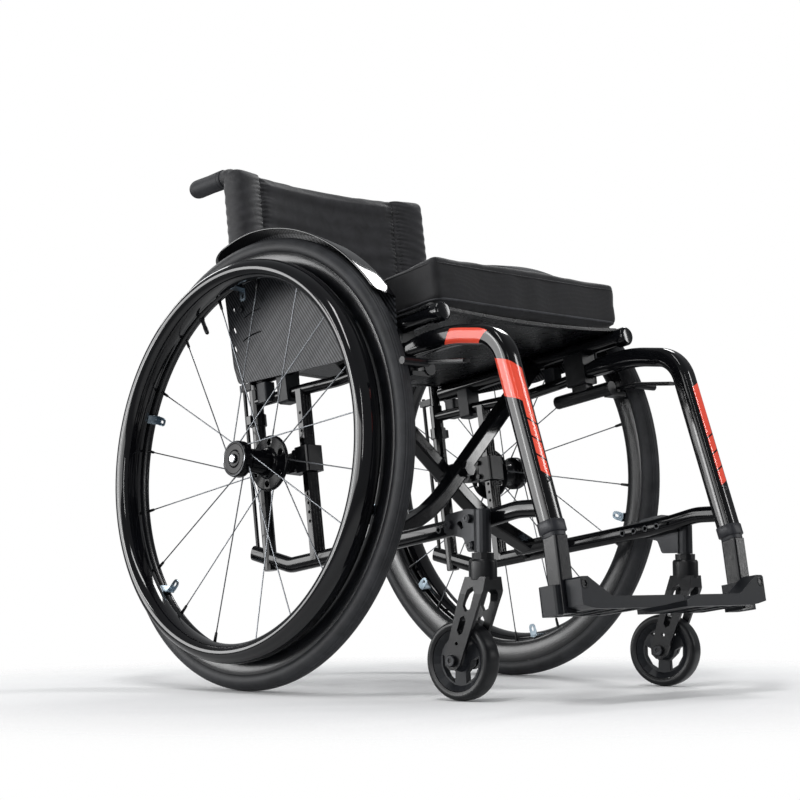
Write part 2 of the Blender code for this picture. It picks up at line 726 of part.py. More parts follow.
def caster_bracket(side):
    """Plate bolted to the lower tube's outside, with the stem housing down its front edge."""
    inner = FRAME_X + LOWER_HALF_W + GAP
    low = HOUSING_LOW + 0.001
    outline = rounded([(STEM_Y + 0.003, low, 0), (STEM_Y + 0.003, HOUSING_TOP - 0.002, 0),
                       (STEM_Y + 0.030, HOUSING_TOP + 0.001, 0.006), (-0.303, 0.2165, 0.006),
                       (-0.2995, 0.1945, 0.006), (-0.333, 0.1885, 0.004), (-0.3400, low, 0.004)], 2)
    plate = extruded(outline, *sorted((side * inner, side * (inner + 0.0055))), "x")
    triangle = rounded([(-0.3195, 0.2075, 0.002), (-0.3300, 0.2090, 0.002), (-0.3365, 0.1935, 0.002)], 1)
    window = extruded(triangle, *sorted((side * (inner - 0.003), side * (inner + 0.009))), "x")
    housing = turned([(HOUSING_LOW, 0), (HOUSING_LOW, HOUSING_R), (HOUSING_TOP - 0.001, HOUSING_R),
                      (HOUSING_TOP, HOUSING_R - 0.001), (HOUSING_TOP, 0)], 16)
    bore = turned([(HOUSING_LOW - 0.01, 0), (HOUSING_LOW - 0.01, STEM_R + GAP),
                   (HOUSING_TOP - 0.006, STEM_R + GAP), (HOUSING_TOP - 0.006, 0)], 12)
    stand = Matrix.Translation((side * STEM_X, STEM_Y, 0)) @ Matrix.Rotation(-pi / 2, 4, "Y")
    for shape in (housing, bore):
        bmesh.ops.transform(shape, matrix=stand, verts=shape.verts)
    nut_faces = sorted((side * (inner + 0.004), side * (inner + 0.0105)))
    nuts = [extruded(circle(y, z, 0.0058, 6), *nut_faces, "x")
            for y, z in ((-0.3112, 0.2045), (-0.3425, 0.2110), (-0.3470, 0.1795))]
    return cut(joined(cut(plate, window), housing, *nuts), bore)


def fork():
    """Two legs sloping back from a round head: a front profile and a pierced side profile
    crossed with each other, with the stem above and the axle bolt below."""
    arch = [(FORK_GAP * cos(t), 0.1145 + FORK_GAP * sin(t)) for t in (pi * k / 5 for k in range(6))]
    low = CASTER_R - 0.0125
    front = [(FORK_HALF_W, low), (FORK_HALF_W, 0.1235), (FORK_HEAD_R - 0.001, 0.1430),
             (-FORK_HEAD_R + 0.001, 0.1430), (-FORK_HALF_W, 0.1235), (-FORK_HALF_W, low), (-FORK_GAP, low)]
    front += arch[::-1] + [(FORK_GAP, low)]
    heel = [(TRAIL + 0.0118 * cos(t), CASTER_R + 0.0118 * sin(t))
            for t in (radians(205 + 43 * k) for k in range(5))]
    side_view = heel + [(0.0190, 0.1260), (0.0150, 0.1440), (-0.0150, 0.1440), (-0.0145, 0.1270),
                        (-0.0085, 0.1130)]
    legs = extruded(side_view, -0.03, 0.03, "x")
    slots = [extruded(capsule(0.0035, 0.1265, 0.0098, 0.1080, 0.0056, 2), -0.04, 0.04, "x"),
             extruded(capsule(0.0148, 0.0945, 0.0198, 0.0800, 0.0044, 2), -0.04, 0.04, "x"),
             extruded(circle(0.0248, 0.0665, 0.0024, 6), -0.04, 0.04, "x")]
    body = shared(extruded(front, -0.03, 0.06, "y"), cut(legs, gathered(slots)))
    head = turned([(0.1400, 0), (0.1400, FORK_HEAD_R), (FORK_TOP - 0.002, FORK_HEAD_R),
                   (FORK_TOP, FORK_HEAD_R - 0.002), (FORK_TOP, 0.0130), (HOUSING_LOW - GAP, 0.0130),
                   (HOUSING_LOW - GAP, STEM_R), (HOUSING_TOP - 0.0065, STEM_R),
                   (HOUSING_TOP - 0.0065, 0)], 12)
    bmesh.ops.rotate(head, cent=(0, 0, 0), matrix=Matrix.Rotation(-pi / 2, 3, "Y"), verts=head.verts)
    end = FORK_HALF_W + 0.0040
    under = FORK_HALF_W - 0.001
    bolt = turned([(-end, 0), (-end, 0.0070), (-under, 0.0070), (-under, CASTER_BOLT_R),
                   (under, CASTER_BOLT_R), (under, 0.0070), (end, 0.0070), (end, 0)], 8)
    bmesh.ops.translate(bolt, vec=(0, TRAIL, CASTER_R), verts=bolt.verts)
    return joined(body, head, bolt)


def caster_tyre():
    half = CASTER_W / 2
    bed = CASTER_CORE_R + GAP
    return turned([(half * 0.90, bed), (half, bed + 0.004), (half * 0.80, CASTER_R - 0.0014), (0, CASTER_R),
                   (-half * 0.80, CASTER_R - 0.0014), (-half, bed + 0.004), (-half * 0.90, bed)], 22)


def caster_core():
    """Core with a rim, a hub and three windows between its spokes."""
    half = CASTER_W / 2 * 0.84
    bore = CASTER_BOLT_R + GAP
    hub_half = FORK_GAP - 0.0008
    half_profile = [(half, CASTER_CORE_R), (0.0045, CASTER_CORE_R - 0.0070), (0.0045, 0.0130),
                    (hub_half, 0.0105), (hub_half, bore)]
    profile = half_profile + [(-a, r) for a, r in half_profile[::-1]]
    body = turned(profile, 22)
    windows = []
    for k in range(3):
        middle = pi / 2 + 2 * pi * k / 3
        outer = [(0.0275 * cos(middle + radians(d)), 0.0275 * sin(middle + radians(d)))
                 for d in (-42, -14, 14, 42)]
        inner = [(0.0155 * cos(middle + radians(d)), 0.0155 * sin(middle + radians(d)))
                 for d in (30, 0, -30)]
        windows.append(extruded(outer + inner, -0.01, 0.01, "x"))
    return cut(body, gathered(windows))


# Seat

def seat_rail(side):
    """Tube with a plain plastic cap at its front end."""
    cap = RAIL_FRONT - 0.0165
    rail = turned([(RAIL_REAR, 0), (RAIL_REAR, RAIL_R - 0.0015), (RAIL_REAR + 0.002, RAIL_R), (cap, RAIL_R),
                   (cap, RAIL_R + 0.0018), (RAIL_FRONT - 0.003, RAIL_R + 0.0018),
                   (RAIL_FRONT, RAIL_R - 0.0010), (RAIL_FRONT, 0)], 14)
    bmesh.ops.rotate(rail, cent=(0, 0, 0), matrix=Matrix.Rotation(-pi / 2, 3, "Z"), verts=rail.verts)
    bmesh.ops.translate(rail, vec=(side * RAIL_X, 0, RAIL_UP), verts=rail.verts)
    return rail


def rail_bore(side, radius):
    """A cutter round the seat rail."""
    return round_bar(point(side * RAIL_X, RAIL_REAR - 0.05, RAIL_UP),
                     point(side * RAIL_X, RAIL_FRONT + 0.05, RAIL_UP), radius, 16)


def seat_saddle(side):
    """Block on the upper tube in whose open top the seat rail rests."""
    x = side * FRAME_X
    outline = rounded([(x - 0.0115, UPPER_UP - 0.0160, 0.003), (x + 0.0115, UPPER_UP - 0.0160, 0.003),
                       (x + 0.0125, CRADLE_TOP, 0.001), (x - 0.0125, CRADLE_TOP, 0.001)], 2)
    body = extruded(outline, -0.0185, 0.0010, "y")
    return cut(body, front_tube_solid(side, GAP), rail_bore(side, RAIL_R + GAP))


def brake_mount(side):
    """Front saddle for the seat rail, with the brake's round housing under the tube."""
    x = side * FRAME_X
    outline = rounded([(x - 0.0120, UPPER_UP - 0.0180, 0.002), (x + 0.0120, UPPER_UP - 0.0180, 0.002),
                       (x + 0.0130, CRADLE_TOP, 0.001), (x - 0.0130, CRADLE_TOP, 0.001)], 2)
    saddle = extruded(outline, -0.2440, -0.2100, "y")
    housing_up = BRAKE_UP
    housing = round_bar(point(x, 0.1790, housing_up), point(x, 0.2785, housing_up), BRAKE_HOUSING_R, 12)
    neck = box(x - 0.0070, x + 0.0070, -0.2400, -0.2140, housing_up, UPPER_UP - 0.0150)
    arm = box(*sorted((x, side * (BRAKE_X + 0.0070))), -BRAKE_F - 0.0070, -BRAKE_F + 0.0070,
              housing_up - 0.0105, housing_up - 0.0045)
    pin = round_bar(point(side * BRAKE_X, BRAKE_F, housing_up - 0.008),
                    point(side * BRAKE_X, BRAKE_F, housing_up + 0.0110), BRAKE_PIN_R, 10)
    whole = joined(saddle, neck, housing, arm, pin)
    return cut(whole, front_tube_solid(side, GAP), rail_bore(side, RAIL_R + GAP))


def brake_lever(side):
    """Flat lever on a standing pin, with the shoe bar that swings back against the tyre."""
    low = BRAKE_UP - 0.0042
    eye = extruded(circle(side * BRAKE_X, -BRAKE_F, 0.0075, 12), low, low + 0.0120, "z")
    start = point(side * BRAKE_X, BRAKE_F, low + 0.0055)
    path = route([(start, 0), (point(side * BRAKE_X, BRAKE_F + 0.034, low + 0.0045), 0.05),
                  (point(side * BRAKE_X, BRAKE_F + BRAKE_LEVER_L, low - 0.0080), 0)], steps=2)
    blade = swept(path, oval(0.0068, 0.0026, 3.0, 8), (1, 0, 0))
    shoe = round_bar(point(side * BRAKE_X, BRAKE_SHOE_F, low + 0.0045),
                     point(side * BRAKE_SHOE_X, BRAKE_SHOE_F, low + 0.0045), BRAKE_SHOE_R, 10)
    hole = extruded(circle(side * BRAKE_X, -BRAKE_F, BRAKE_PIN_R + GAP, 10), low - 0.01, low + 0.03, "z")
    return cut(joined(eye, blade, shoe), hole)


# Cross brace: two bent tubes, each from a foot barrel on one side to the other side's rail

def brace_path(side, forward):
    """From the foot on this side up to the rail on the other side."""
    foot_x = -side * HINGE_X
    bend_up = HINGE_UP + (HINGE_X - BRACE_BEND_X) * tan(BRACE_FOOT_SLOPE)
    bend = point(side * -BRACE_BEND_X, forward, bend_up)
    foot = point(foot_x, forward, HINGE_UP)
    rail = point(side * RAIL_X, forward, RAIL_UP)
    lower = (bend - foot).normalized()
    upper = (rail - bend).normalized()
    return route([(foot + lower * 0.006, 0), (bend, BRACE_BEND_R), (rail - upper * 0.005, 0)], steps=3)


def cross_brace(side, forward):
    """A bent tube with a dovetail section, a foot barrel and a notch for the rail."""
    section = rounded([(-BRACE_HALF_D, -BRACE_HALF_H, 0.003), (BRACE_HALF_D, -BRACE_HALF_H * 0.72, 0.003),
                       (BRACE_HALF_D, BRACE_HALF_H * 0.72, 0.003), (-BRACE_HALF_D, BRACE_HALF_H, 0.003)], 2)
    tube = swept(brace_path(side, forward), section, (0, -1, 0))
    foot = (-side * HINGE_X, HINGE_UP)
    barrel = extruded(circle(*foot, BARREL_R, 16), -BARREL_FRONT, -BARREL_REAR, "y")
    bore = extruded(circle(*foot, HINGE_PIN_R + GAP, 12), -BARREL_FRONT - 0.01, -BARREL_REAR + 0.01, "y")
    return joined(tube, barrel), bore


def cross_brace_a():
    """Front brace: right foot to left rail, drilled for the pivot bolt."""
    body, bore = cross_brace(1, BRACE_A_F)
    hole = extruded(circle(0, PIVOT_UP, PIVOT_BOLT_R + GAP, 12), -0.2, 0, "y")
    return cut(body, bore, hole, rail_bore(1, RAIL_R + GAP))


def cross_brace_b():
    """Rear brace: left foot to right rail. It carries the pivot bolt, its washer and its knob."""
    body, bore = cross_brace(-1, BRACE_B_F)
    body = cut(body, bore, rail_bore(-1, RAIL_R + GAP))
    back = BRACE_B_F
    a_rear = BRACE_A_F - BRACE_HALF_D
    a_front = BRACE_A_F + BRACE_HALF_D
    bolt = extruded(circle(0, PIVOT_UP, PIVOT_BOLT_R, 12), -(a_front + 0.006), -back, "y")
    washer = extruded(circle(0, PIVOT_UP, 0.0120, 16), -(a_rear - GAP), -back, "y")
    knob = extruded(circle(0, PIVOT_UP, 0.0100, 6), -(a_front + GAP + 0.0080), -(a_front + GAP), "y")
    rear = back - BRACE_HALF_D
    tail = extruded(circle(0, PIVOT_UP, 0.0080, 6), -(rear + 0.001), -(rear - 0.0060), "y")
    return joined(body, bolt, washer, knob, tail)


def brace_hinge(side):
    """Bracket on the lower tube: two lugs and the pin that the brace's barrel turns on."""
    tube_face = FRAME_X - LOWER_HALF_W - GAP
    base_in = HINGE_X + BARREL_R + 0.0005
    lug = 0.0075
    base = box(*sorted((side * base_in, side * tube_face)), -(BARREL_FRONT + GAP + lug),
               -(BARREL_REAR - GAP - lug), HINGE_UP - 0.0170, HINGE_UP + 0.0080)
    outline = [(side * (HINGE_X + 0.0095 * cos(t)), HINGE_UP + 0.0095 * sin(t))
               for t in (radians(60 + 30 * k) for k in range(8))]
    outline += [(side * tube_face, HINGE_UP - 0.0150), (side * tube_face, HINGE_UP + 0.0080)]
    lugs = [extruded(outline, start, start + lug, "y")
            for start in (-(BARREL_FRONT + GAP + lug), -(BARREL_REAR - GAP))]
    pin = extruded(circle(side * HINGE_X, HINGE_UP, HINGE_PIN_R, 12),
                   -(BARREL_FRONT + 0.004), -(BARREL_REAR - 0.004), "y")
    return joined(base, pin, *lugs)


# Soft pieces

def cushion():
    """Foam cushion: nearly flat top, sides drawn in between piped edges, a shallow channel
    down the middle, and an underside that settles into the sling."""
    half_l = (CUSHION_FRONT - CUSHION_REAR) / 2
    centre = (CUSHION_FRONT + CUSHION_REAR) / 2
    waist = (CUSHION_LOW + CUSHION_TOP) / 2
    rings = []
    for v in (-1, -0.994, -0.97, -0.93, -0.7, -0.35, 0, 0.35, 0.7, 0.93, 0.97, 0.994, 1):
        end = (1 - abs(v) ** 60) ** (1 / 2)
        squash = 0.72 + 0.28 * end
        narrow = 1 - 0.03 * (1 - end) - 0.008 * (1 - v * v)
        ring = []
        for a, b in oval(1.0, 1.0, 9.0, 24):
            x = a * CUSHION_HALF_W * narrow * (1 - 0.014 * (1 - b * b))
            if b > 0:
                dish = 0.0040 * (1 - a * a) * v * v
                channel = 0.0020 * max(0.0, 1 - (x / 0.02) ** 2) * (1 - v * v)
                up = waist + b * (CUSHION_TOP - waist) * squash - dish - channel
            else:
                seat = sling_height(min(abs(x), RAIL_X)) + SLING_THICK + GAP
                up = waist + b * (waist - seat) * squash
            ring.append(point(x, centre + v * half_l, up))
        rings.append(ring)
    return ringed(rings)


def sling_height(x):
    """Underside of the seat sling between the rails, hanging in a shallow curve."""
    rest = RAIL_UP + RAIL_R + 2 * GAP
    return rest - SLING_SAG * (1 - (x / RAIL_X) ** 2)


def seat_sling():
    """Fabric seat that hangs between the rails and wraps over each."""
    radius = RAIL_R + 2 * GAP
    turns = [radians(90 - 17 * k) for k in range(1, 4)]
    under = [(RAIL_X * k / 8, sling_height(RAIL_X * k / 8)) for k in range(-8, 9)]
    over = [(x, up + SLING_THICK) for x, up in under]
    right_wrap = [(-RAIL_X - cos(t) * radius, RAIL_UP + sin(t) * radius) for t in turns]
    left_wrap = [(RAIL_X + cos(t) * radius, RAIL_UP + sin(t) * radius) for t in turns]
    outer = radius + SLING_THICK
    right_top = [(-RAIL_X - cos(t) * outer, RAIL_UP + sin(t) * outer) for t in turns]
    left_top = [(RAIL_X + cos(t) * outer, RAIL_UP + sin(t) * outer) for t in turns]
    outline = right_wrap[::-1] + under + left_wrap + left_top[::-1] + over[::-1] + right_top
    return extruded(outline, -(RAIL_FRONT - 0.0200), -(RAIL_REAR + 0.004), "y")


def back_row(share):
    """One level of the back upholstery: front from right to left, round the left tube, back
    along the rear and round the right tube. share is 0 at the lower edge and 1 at the top."""
    sag = BACK_SAG_LOW + (BACK_SAG - BACK_SAG_LOW) * share
    plump = 1.0 if 0 < share < 1 else 0.55
    height = BACK_LOW + share * (BACK_HIGH - BACK_LOW)
    half = [0.157, 0.143, BACK_SEAM_X + 0.0035, BACK_SEAM_X, BACK_SEAM_X - 0.0035, 0.085, 0.0]
    front, rear = [], []
    for x in [-x for x in half] + half[-2::-1]:
        dip = 1 - (x / half[0]) ** 2
        depth = POST_F - 0.002 - sag * dip
        thick = BACK_THICK / 2 * plump * (0.35 if abs(x) == BACK_SEAM_X else 1.0)
        front.append(point(x, depth + thick, height))
        rear.append(point(x, depth - thick, height))
    turns = [radians(t) for t in (105, 60, 20, -20, -60, -105)]
    loop = [(FRAME_X + SLEEVE_HALF_W * cos(t), POST_F - SLEEVE_BACK + SLEEVE_HALF_D * sin(t))
            for t in turns]
    left = [point(x, forward, height) for x, forward in loop]
    right = [point(-x, forward, height) for x, forward in loop[::-1]]
    return front + left + rear[::-1] + right


def back_upholstery():
    """Padded back sling, pinched along two sewn lines and wrapped round each back tube, with a
    hood over each tube's bend."""
    body = ringed([back_row(share) for share in (0, 0.04, 0.35, 0.7, 0.96, 1)])
    hoods = [back_tube_solid(side, BACK_TUBE_TOP - 0.030, HOOD_END, HOOD_R) for side in SIDES]
    tubes = [back_tube_solid(side, 0.1, 0.08, BACK_TUBE_R + 2 * GAP) for side in SIDES]
    return cut(joined(body, *hoods), *tubes)


# Side guards, drawn upright about the axle

def side_guard(side):
    """Thin panel inside the wheel with a lip over the tyre, adjustment slots and two clips."""
    turns = [GUARD_BACK - (GUARD_BACK + GUARD_FRONT) * k / 11 for k in range(12)]
    arc = [(GUARD_R * sin(a), AXLE_Z + GUARD_R * cos(a), 0) for a in turns]
    outline = rounded(arc + [(-0.2340, 0.4380, 0.006), (-0.2080, 0.4330, 0), (-0.1120, 0.4175, 0),
                             (0.0900, 0.4055, 0.008), (0.1010, 0.4300, 0)], 2)
    inner, outer = GUARD_X, GUARD_X + GUARD_THICK
    panel = extruded(outline, *sorted((side * inner, side * outer)), "x")
    lip_rings = []
    for k, a in enumerate(turns):
        reach = GUARD_LIP_X - 0.012 * abs(1 - 2 * k / (len(turns) - 1)) ** 3
        low, high = GUARD_R - 0.0011, GUARD_R + 0.0011
        lip_rings.append([(side * x, r * sin(a), AXLE_Z + r * cos(a))
                          for x, r in ((inner, low), (reach, low), (reach + 0.001, high), (inner, high))])
    lip = ringed(lip_rings)
    slots = [extruded(capsule(y, z, y + 0.004, z + 0.006, 0.0022, 2), -0.25, 0.25, "x")
             for y, z in ((0.0985, 0.5050), (0.0975, 0.4780), (0.0955, 0.4520))]
    for z in (0.4950, 0.4640):
        bow = [(0.0800 - 0.0098 * k, z + 0.0045 * k - 0.0005 * k * k) for k in range(5)]
        ribbon = [(y, w + 0.0011) for y, w in bow] + [(y, w - 0.0011) for y, w in bow[::-1]]
        slots.append(extruded(ribbon, -0.25, 0.25, "x"))
    clips = []
    for forward in (-0.0300, 0.1700):
        hook = box(*sorted((side * (FRAME_X - 0.002), side * (inner + 0.0005))),
                   -forward - 0.010, -forward + 0.010, UPPER_UP - 0.0080, RAIL_UP - RAIL_R - 0.0020)
        tongue = box(*sorted((side * (inner - 0.0015), side * (inner + 0.0005))),
                     -forward - 0.008, -forward + 0.008, UPPER_UP, RAIL_UP + 0.004)
        clips += [moved(hook, "frame", "chair"), moved(tongue, "frame", "chair")]
    grown = moved(front_tube_solid(side, GAP), "frame", "chair")
    return cut(joined(cut(panel, gathered(slots)), lip, *clips), grown)


# Footrests

def footrest_tube(side):
    """Square tube with a spigot up into the leg and the footplate's shouldered screw in front."""
    x = side * LEG_X
    top = LEG_FOOT_UP - 0.0006
    section = rounded([(x - FOOT_TUBE_HALF, -FOOT_TUBE_F - FOOT_TUBE_HALF, 0.003),
                       (x + FOOT_TUBE_HALF, -FOOT_TUBE_F - FOOT_TUBE_HALF, 0.003),
                       (x + FOOT_TUBE_HALF, -FOOT_TUBE_F + FOOT_TUBE_HALF, 0.003),
                       (x - FOOT_TUBE_HALF, -FOOT_TUBE_F + FOOT_TUBE_HALF, 0.003)], 2)
    body = extruded(section, FOOT_TUBE_LOW, top - 0.0035, "z")
    path = front_tube_path(side)
    way = (path[-1] - path[-2]).normalized()
    spigot = round_bar(path[-1] - way * 0.048, path[-1] + way * 0.010, FOOT_TUBE_HALF - 0.0025, 12)
    face = -(FOOT_TUBE_F + FOOT_TUBE_HALF)
    pin = (side * FOOT_PIN_X, FOOT_PIN_UP)
    shank = extruded(circle(*pin, FOOT_PIN_R, 12), -(FOOT_FRONT - 0.006), face + 0.003, "y")
    head = extruded(circle(*pin, FOOT_HEAD_R, 12), -(FOOT_FRONT - 0.001), -(FOOT_FRONT - 0.006), "y")
    return joined(body, spigot, shank, head)


def foot_clamp(side):
    """Moulded clamp behind and outboard of the tube's foot."""
    x = side * LEG_X
    reach_in, reach_out = FOOT_TUBE_HALF + 0.0018, FOOT_TUBE_HALF + 0.0080
    outline = rounded([(x - side * reach_in, -FOOT_TUBE_F - FOOT_TUBE_HALF + 0.002, 0),
                       (x - side * reach_in, -FOOT_TUBE_F + FOOT_TUBE_HALF + 0.008, 0.003),
                       (x + side * reach_out, -FOOT_TUBE_F + FOOT_TUBE_HALF + 0.008, 0.005),
                       (x + side * reach_out, -FOOT_TUBE_F - FOOT_TUBE_HALF + 0.002, 0.004)], 2)
    body = extruded(outline, FOOT_TUBE_LOW - 0.0010, FOOT_TUBE_LOW + 0.0330, "z")
    grown = FOOT_TUBE_HALF + GAP
    gate = extruded([(x - grown, -FOOT_TUBE_F - grown - 0.01), (x + grown, -FOOT_TUBE_F - grown - 0.01),
                     (x + grown, -FOOT_TUBE_F + grown), (x - grown, -FOOT_TUBE_F + grown)],
                    FOOT_TUBE_LOW - 0.02, FOOT_TUBE_LOW + 0.05, "z")
    return cut(body, gate)


def footplate(side):
    """Half footplate: hinge ear in front of the tube, sloping arm and a plate ribbed beneath.
    The right half's thin end overhangs the ramp on the left half's end."""
    if side < 0:
        end = [(0.0075, FOOT_TOP), (0.0104, -0.2490), (-0.0300, -0.2545), (-0.0500, FOOT_LOW)]
    else:
        end = [(-0.0354, FOOT_TOP), (-0.0137, -0.2495), (-0.0137, FOOT_LOW)]
    ear = [(-0.1410, FOOT_LOW), (-0.1545, -0.2552), (-0.1712, -0.2520), (-0.1712, -0.2222),
           (-0.1690, -0.2200), (-0.1580, -0.2198), (-0.1230, -0.2405), (-0.1180, FOOT_TOP)]
    outline = [(-side * x, up) for x, up in ear + end]
    body = extruded(outline, -FOOT_FRONT, -FOOT_REAR, "y")
    behind = FOOT_TUBE_F + FOOT_TUBE_HALF + 2 * GAP
    rear = -FOOT_REAR + 0.01
    tube_room = box(*sorted((side * 0.1500, side * 0.20)), -behind, rear, FOOT_LOW - 0.01, -0.19)
    swing_room = box(*sorted((side * 0.1180, side * 0.20)), -behind, rear, FOOT_TOP, -0.19)
    pin = (side * FOOT_PIN_X, FOOT_PIN_UP)
    front = -FOOT_FRONT - 0.01
    hole = extruded(circle(*pin, FOOT_PIN_R + GAP, 12), front, -behind + 0.01, "y")
    seat = extruded(circle(*pin, FOOT_HEAD_R + GAP, 12), front, -(FOOT_FRONT - 0.006 - GAP), "y")
    pockets = []
    low_x, high_x = (0.058, 0.146) if side < 0 else (0.040, 0.146)
    bays = 3
    rib = 0.0016
    wide = (high_x - low_x) / bays
    y_front, y_rear = -FOOT_FRONT + 0.0065, -FOOT_REAR - 0.0025
    for k in range(bays):
        left, right = low_x + k * wide + rib, low_x + (k + 1) * wide - rib
        corners = [(left, y_front), (right, y_front), (left, y_rear), (right, y_rear)]
        if k % 2:
            one, two = (corners[0], corners[1], corners[3]), (corners[0], corners[3], corners[2])
        else:
            one, two = (corners[0], corners[1], corners[2]), (corners[1], corners[3], corners[2])
        for three in (one, two):
            middle = Vector((sum(p[0] for p in three) / 3, sum(p[1] for p in three) / 3))
            small = [tuple(middle + (Vector(p) - middle) * 0.90) for p in three]
            pocket = [(side * a, b) for a, b in small]
            pockets.append(extruded(pocket, FOOT_LOW - 0.01, FOOT_TOP - FOOT_SKIN, "z"))
    return cut(body, tube_room, swing_room, hole, seat, gathered(pockets))


# The chair

def build():
    for old in list(bpy.data.objects):
        bpy.data.objects.remove(old)

    gloss = material("gloss black", "15161a", 0.16, 0.3)
    satin = material("satin black", "26272b", 0.42, 0.3)
    plastic = material("dark plastic", "34363a", 0.55)
    rubber = material("tyre rubber", "2b2c2e", 0.75)
    grip_rubber = material("grip rubber", "4a4b4e", 0.7)
    silver = material("bright metal", "b9bcc0", 0.25, 1.0)
    bracket = material("satin metal", "4b4d52", 0.35, 0.8)
    weave = material("carbon weave", "3b3d42", 0.4, 0.2)
    fabric = material("black nylon", "1c1d20", 0.8)
    under = material("glossy sling", "15161a", 0.35)

    axes("chair", None, (0, AXLE_Y, 0))
    axes("frame", "chair", (0, 0, AXLE_Z), (-FRAME_LEAN, 0, 0))
    axes("brace_a", "frame", point(-HINGE_X, BRACE_A_F, HINGE_UP))
    axes("brace_b", "brace_a", point(0, BRACE_B_F, PIVOT_UP), drawn_in="frame")
    axes("frame_left", "brace_b", point(HINGE_X, BRACE_B_F, HINGE_UP), drawn_in="frame")
    sides = {-1: "frame", 1: "frame_left"}

    for side, word in SIDES.items():
        frame = sides[side]
        wheel, caster = "wheel_" + word, "caster_" + word
        axes(wheel, frame, (side * WHEEL_X, 0, AXLE_Z), (0, -side * CAMBER, 0), drawn_in="chair")
        axes("button_" + word, frame, (side * WHEEL_X, 0, AXLE_Z), (0, -side * CAMBER, 0), drawn_in="chair")
        axes(caster, frame, (side * STEM_X, STEM_Y, 0), (0, 0, CASTER_YAW[side]), drawn_in="chair")
        axes("caster_wheel_" + word, caster, (0, TRAIL, CASTER_R))
        axes("foot_" + word, frame, point(side * FOOT_PIN_X, FOOT_FRONT, FOOT_PIN_UP), drawn_in="frame")
        axes("brake_" + word, frame, point(side * BRAKE_X, BRAKE_F, BRAKE_UP), drawn_in="frame")

        node("tyre_" + word, tyre(side), rubber, wheel)
        node("rim_" + word, rim(side), gloss, wheel)
        node("handrim_" + word, handrim(side), gloss, wheel)
        node("hub_" + word, hub(side), gloss, wheel, sharp=30)
        node("axle_" + word, axle(side), silver, frame, wheel)
        node("release_button_" + word, button(side), silver, "button_" + word)
        node("axle_mount_" + word, axle_mount(side), satin, frame, "frame")

        node("front_tube_" + word, front_tube(side), gloss, frame, "frame", sharp=50)
        node("lower_tube_" + word, lower_tube(side), gloss, frame, "frame")
        node("axle_tube_" + word, axle_tube(side), gloss, frame, "frame", sharp=20)
        node("rear_post_" + word, rear_post(side), gloss, frame, "frame")
        node("back_tube_" + word, back_tube(side), gloss, frame, "frame")
        node("grip_" + word, grip(side), grip_rubber, frame, "frame")
        node("stay_rod_" + word, stay_rod(side), satin, frame, "frame")
        node("seat_saddle_" + word, seat_saddle(side), plastic, frame, "frame")
        node("brake_mount_" + word, brake_mount(side), satin, frame, "frame")
        node("brake_lever_" + word, brake_lever(side), satin, "brake_" + word, "frame")
        node("brace_hinge_" + word, brace_hinge(side), satin, frame, "frame")
        node("side_guard_" + word, side_guard(side), weave, frame, "chair", sharp=30)

        node("caster_bracket_" + word, caster_bracket(side), bracket, frame, "chair", sharp=30)
        node("fork_" + word, fork(), satin, caster, sharp=30)
        node("caster_tyre_" + word, caster_tyre(), rubber, "caster_wheel_" + word)
        node("caster_core_" + word, caster_core(), plastic, "caster_wheel_" + word, sharp=30)

        node("footrest_tube_" + word, footrest_tube(side), silver, frame, "frame", sharp=30)
        node("foot_clamp_" + word, foot_clamp(side), plastic, frame, "frame", sharp=30)
        node("footplate_" + word, footplate(side), plastic, "foot_" + word, "frame", sharp=30)

    node("cross_brace_a", cross_brace_a(), gloss, "brace_a", "frame")
    node("seat_rail_left", seat_rail(1), gloss, "brace_a", "frame")
    node("cross_brace_b", cross_brace_b(), gloss, "brace_b", "frame")
    node("seat_rail_right", seat_rail(-1), gloss, "brace_b", "frame")
    node("seat_sling", seat_sling(), under, "brace_b", "frame", sharp=30)
    node("cushion", cushion(), fabric, "brace_b", "frame", sharp=60)
    node("back_upholstery", back_upholstery(), fabric, "frame", sharp=50)


build()
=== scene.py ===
# %% [markdown]
# # A folding active wheelchair, dressed over its CAD frame
#
# The CAD model gives every size and every joint. Here its solids are either given the finish
# of the real thing or replaced by a finer surface of the same shape. Every new surface is a
# grid of points worked out with numpy from a formula, so that its form can be read and changed.

import bmesh
import bpy
import numpy as np
from math import cos, pi, radians, sin, tan
from mathutils import Matrix, Vector
from mathutils.bvhtree import BVHTree


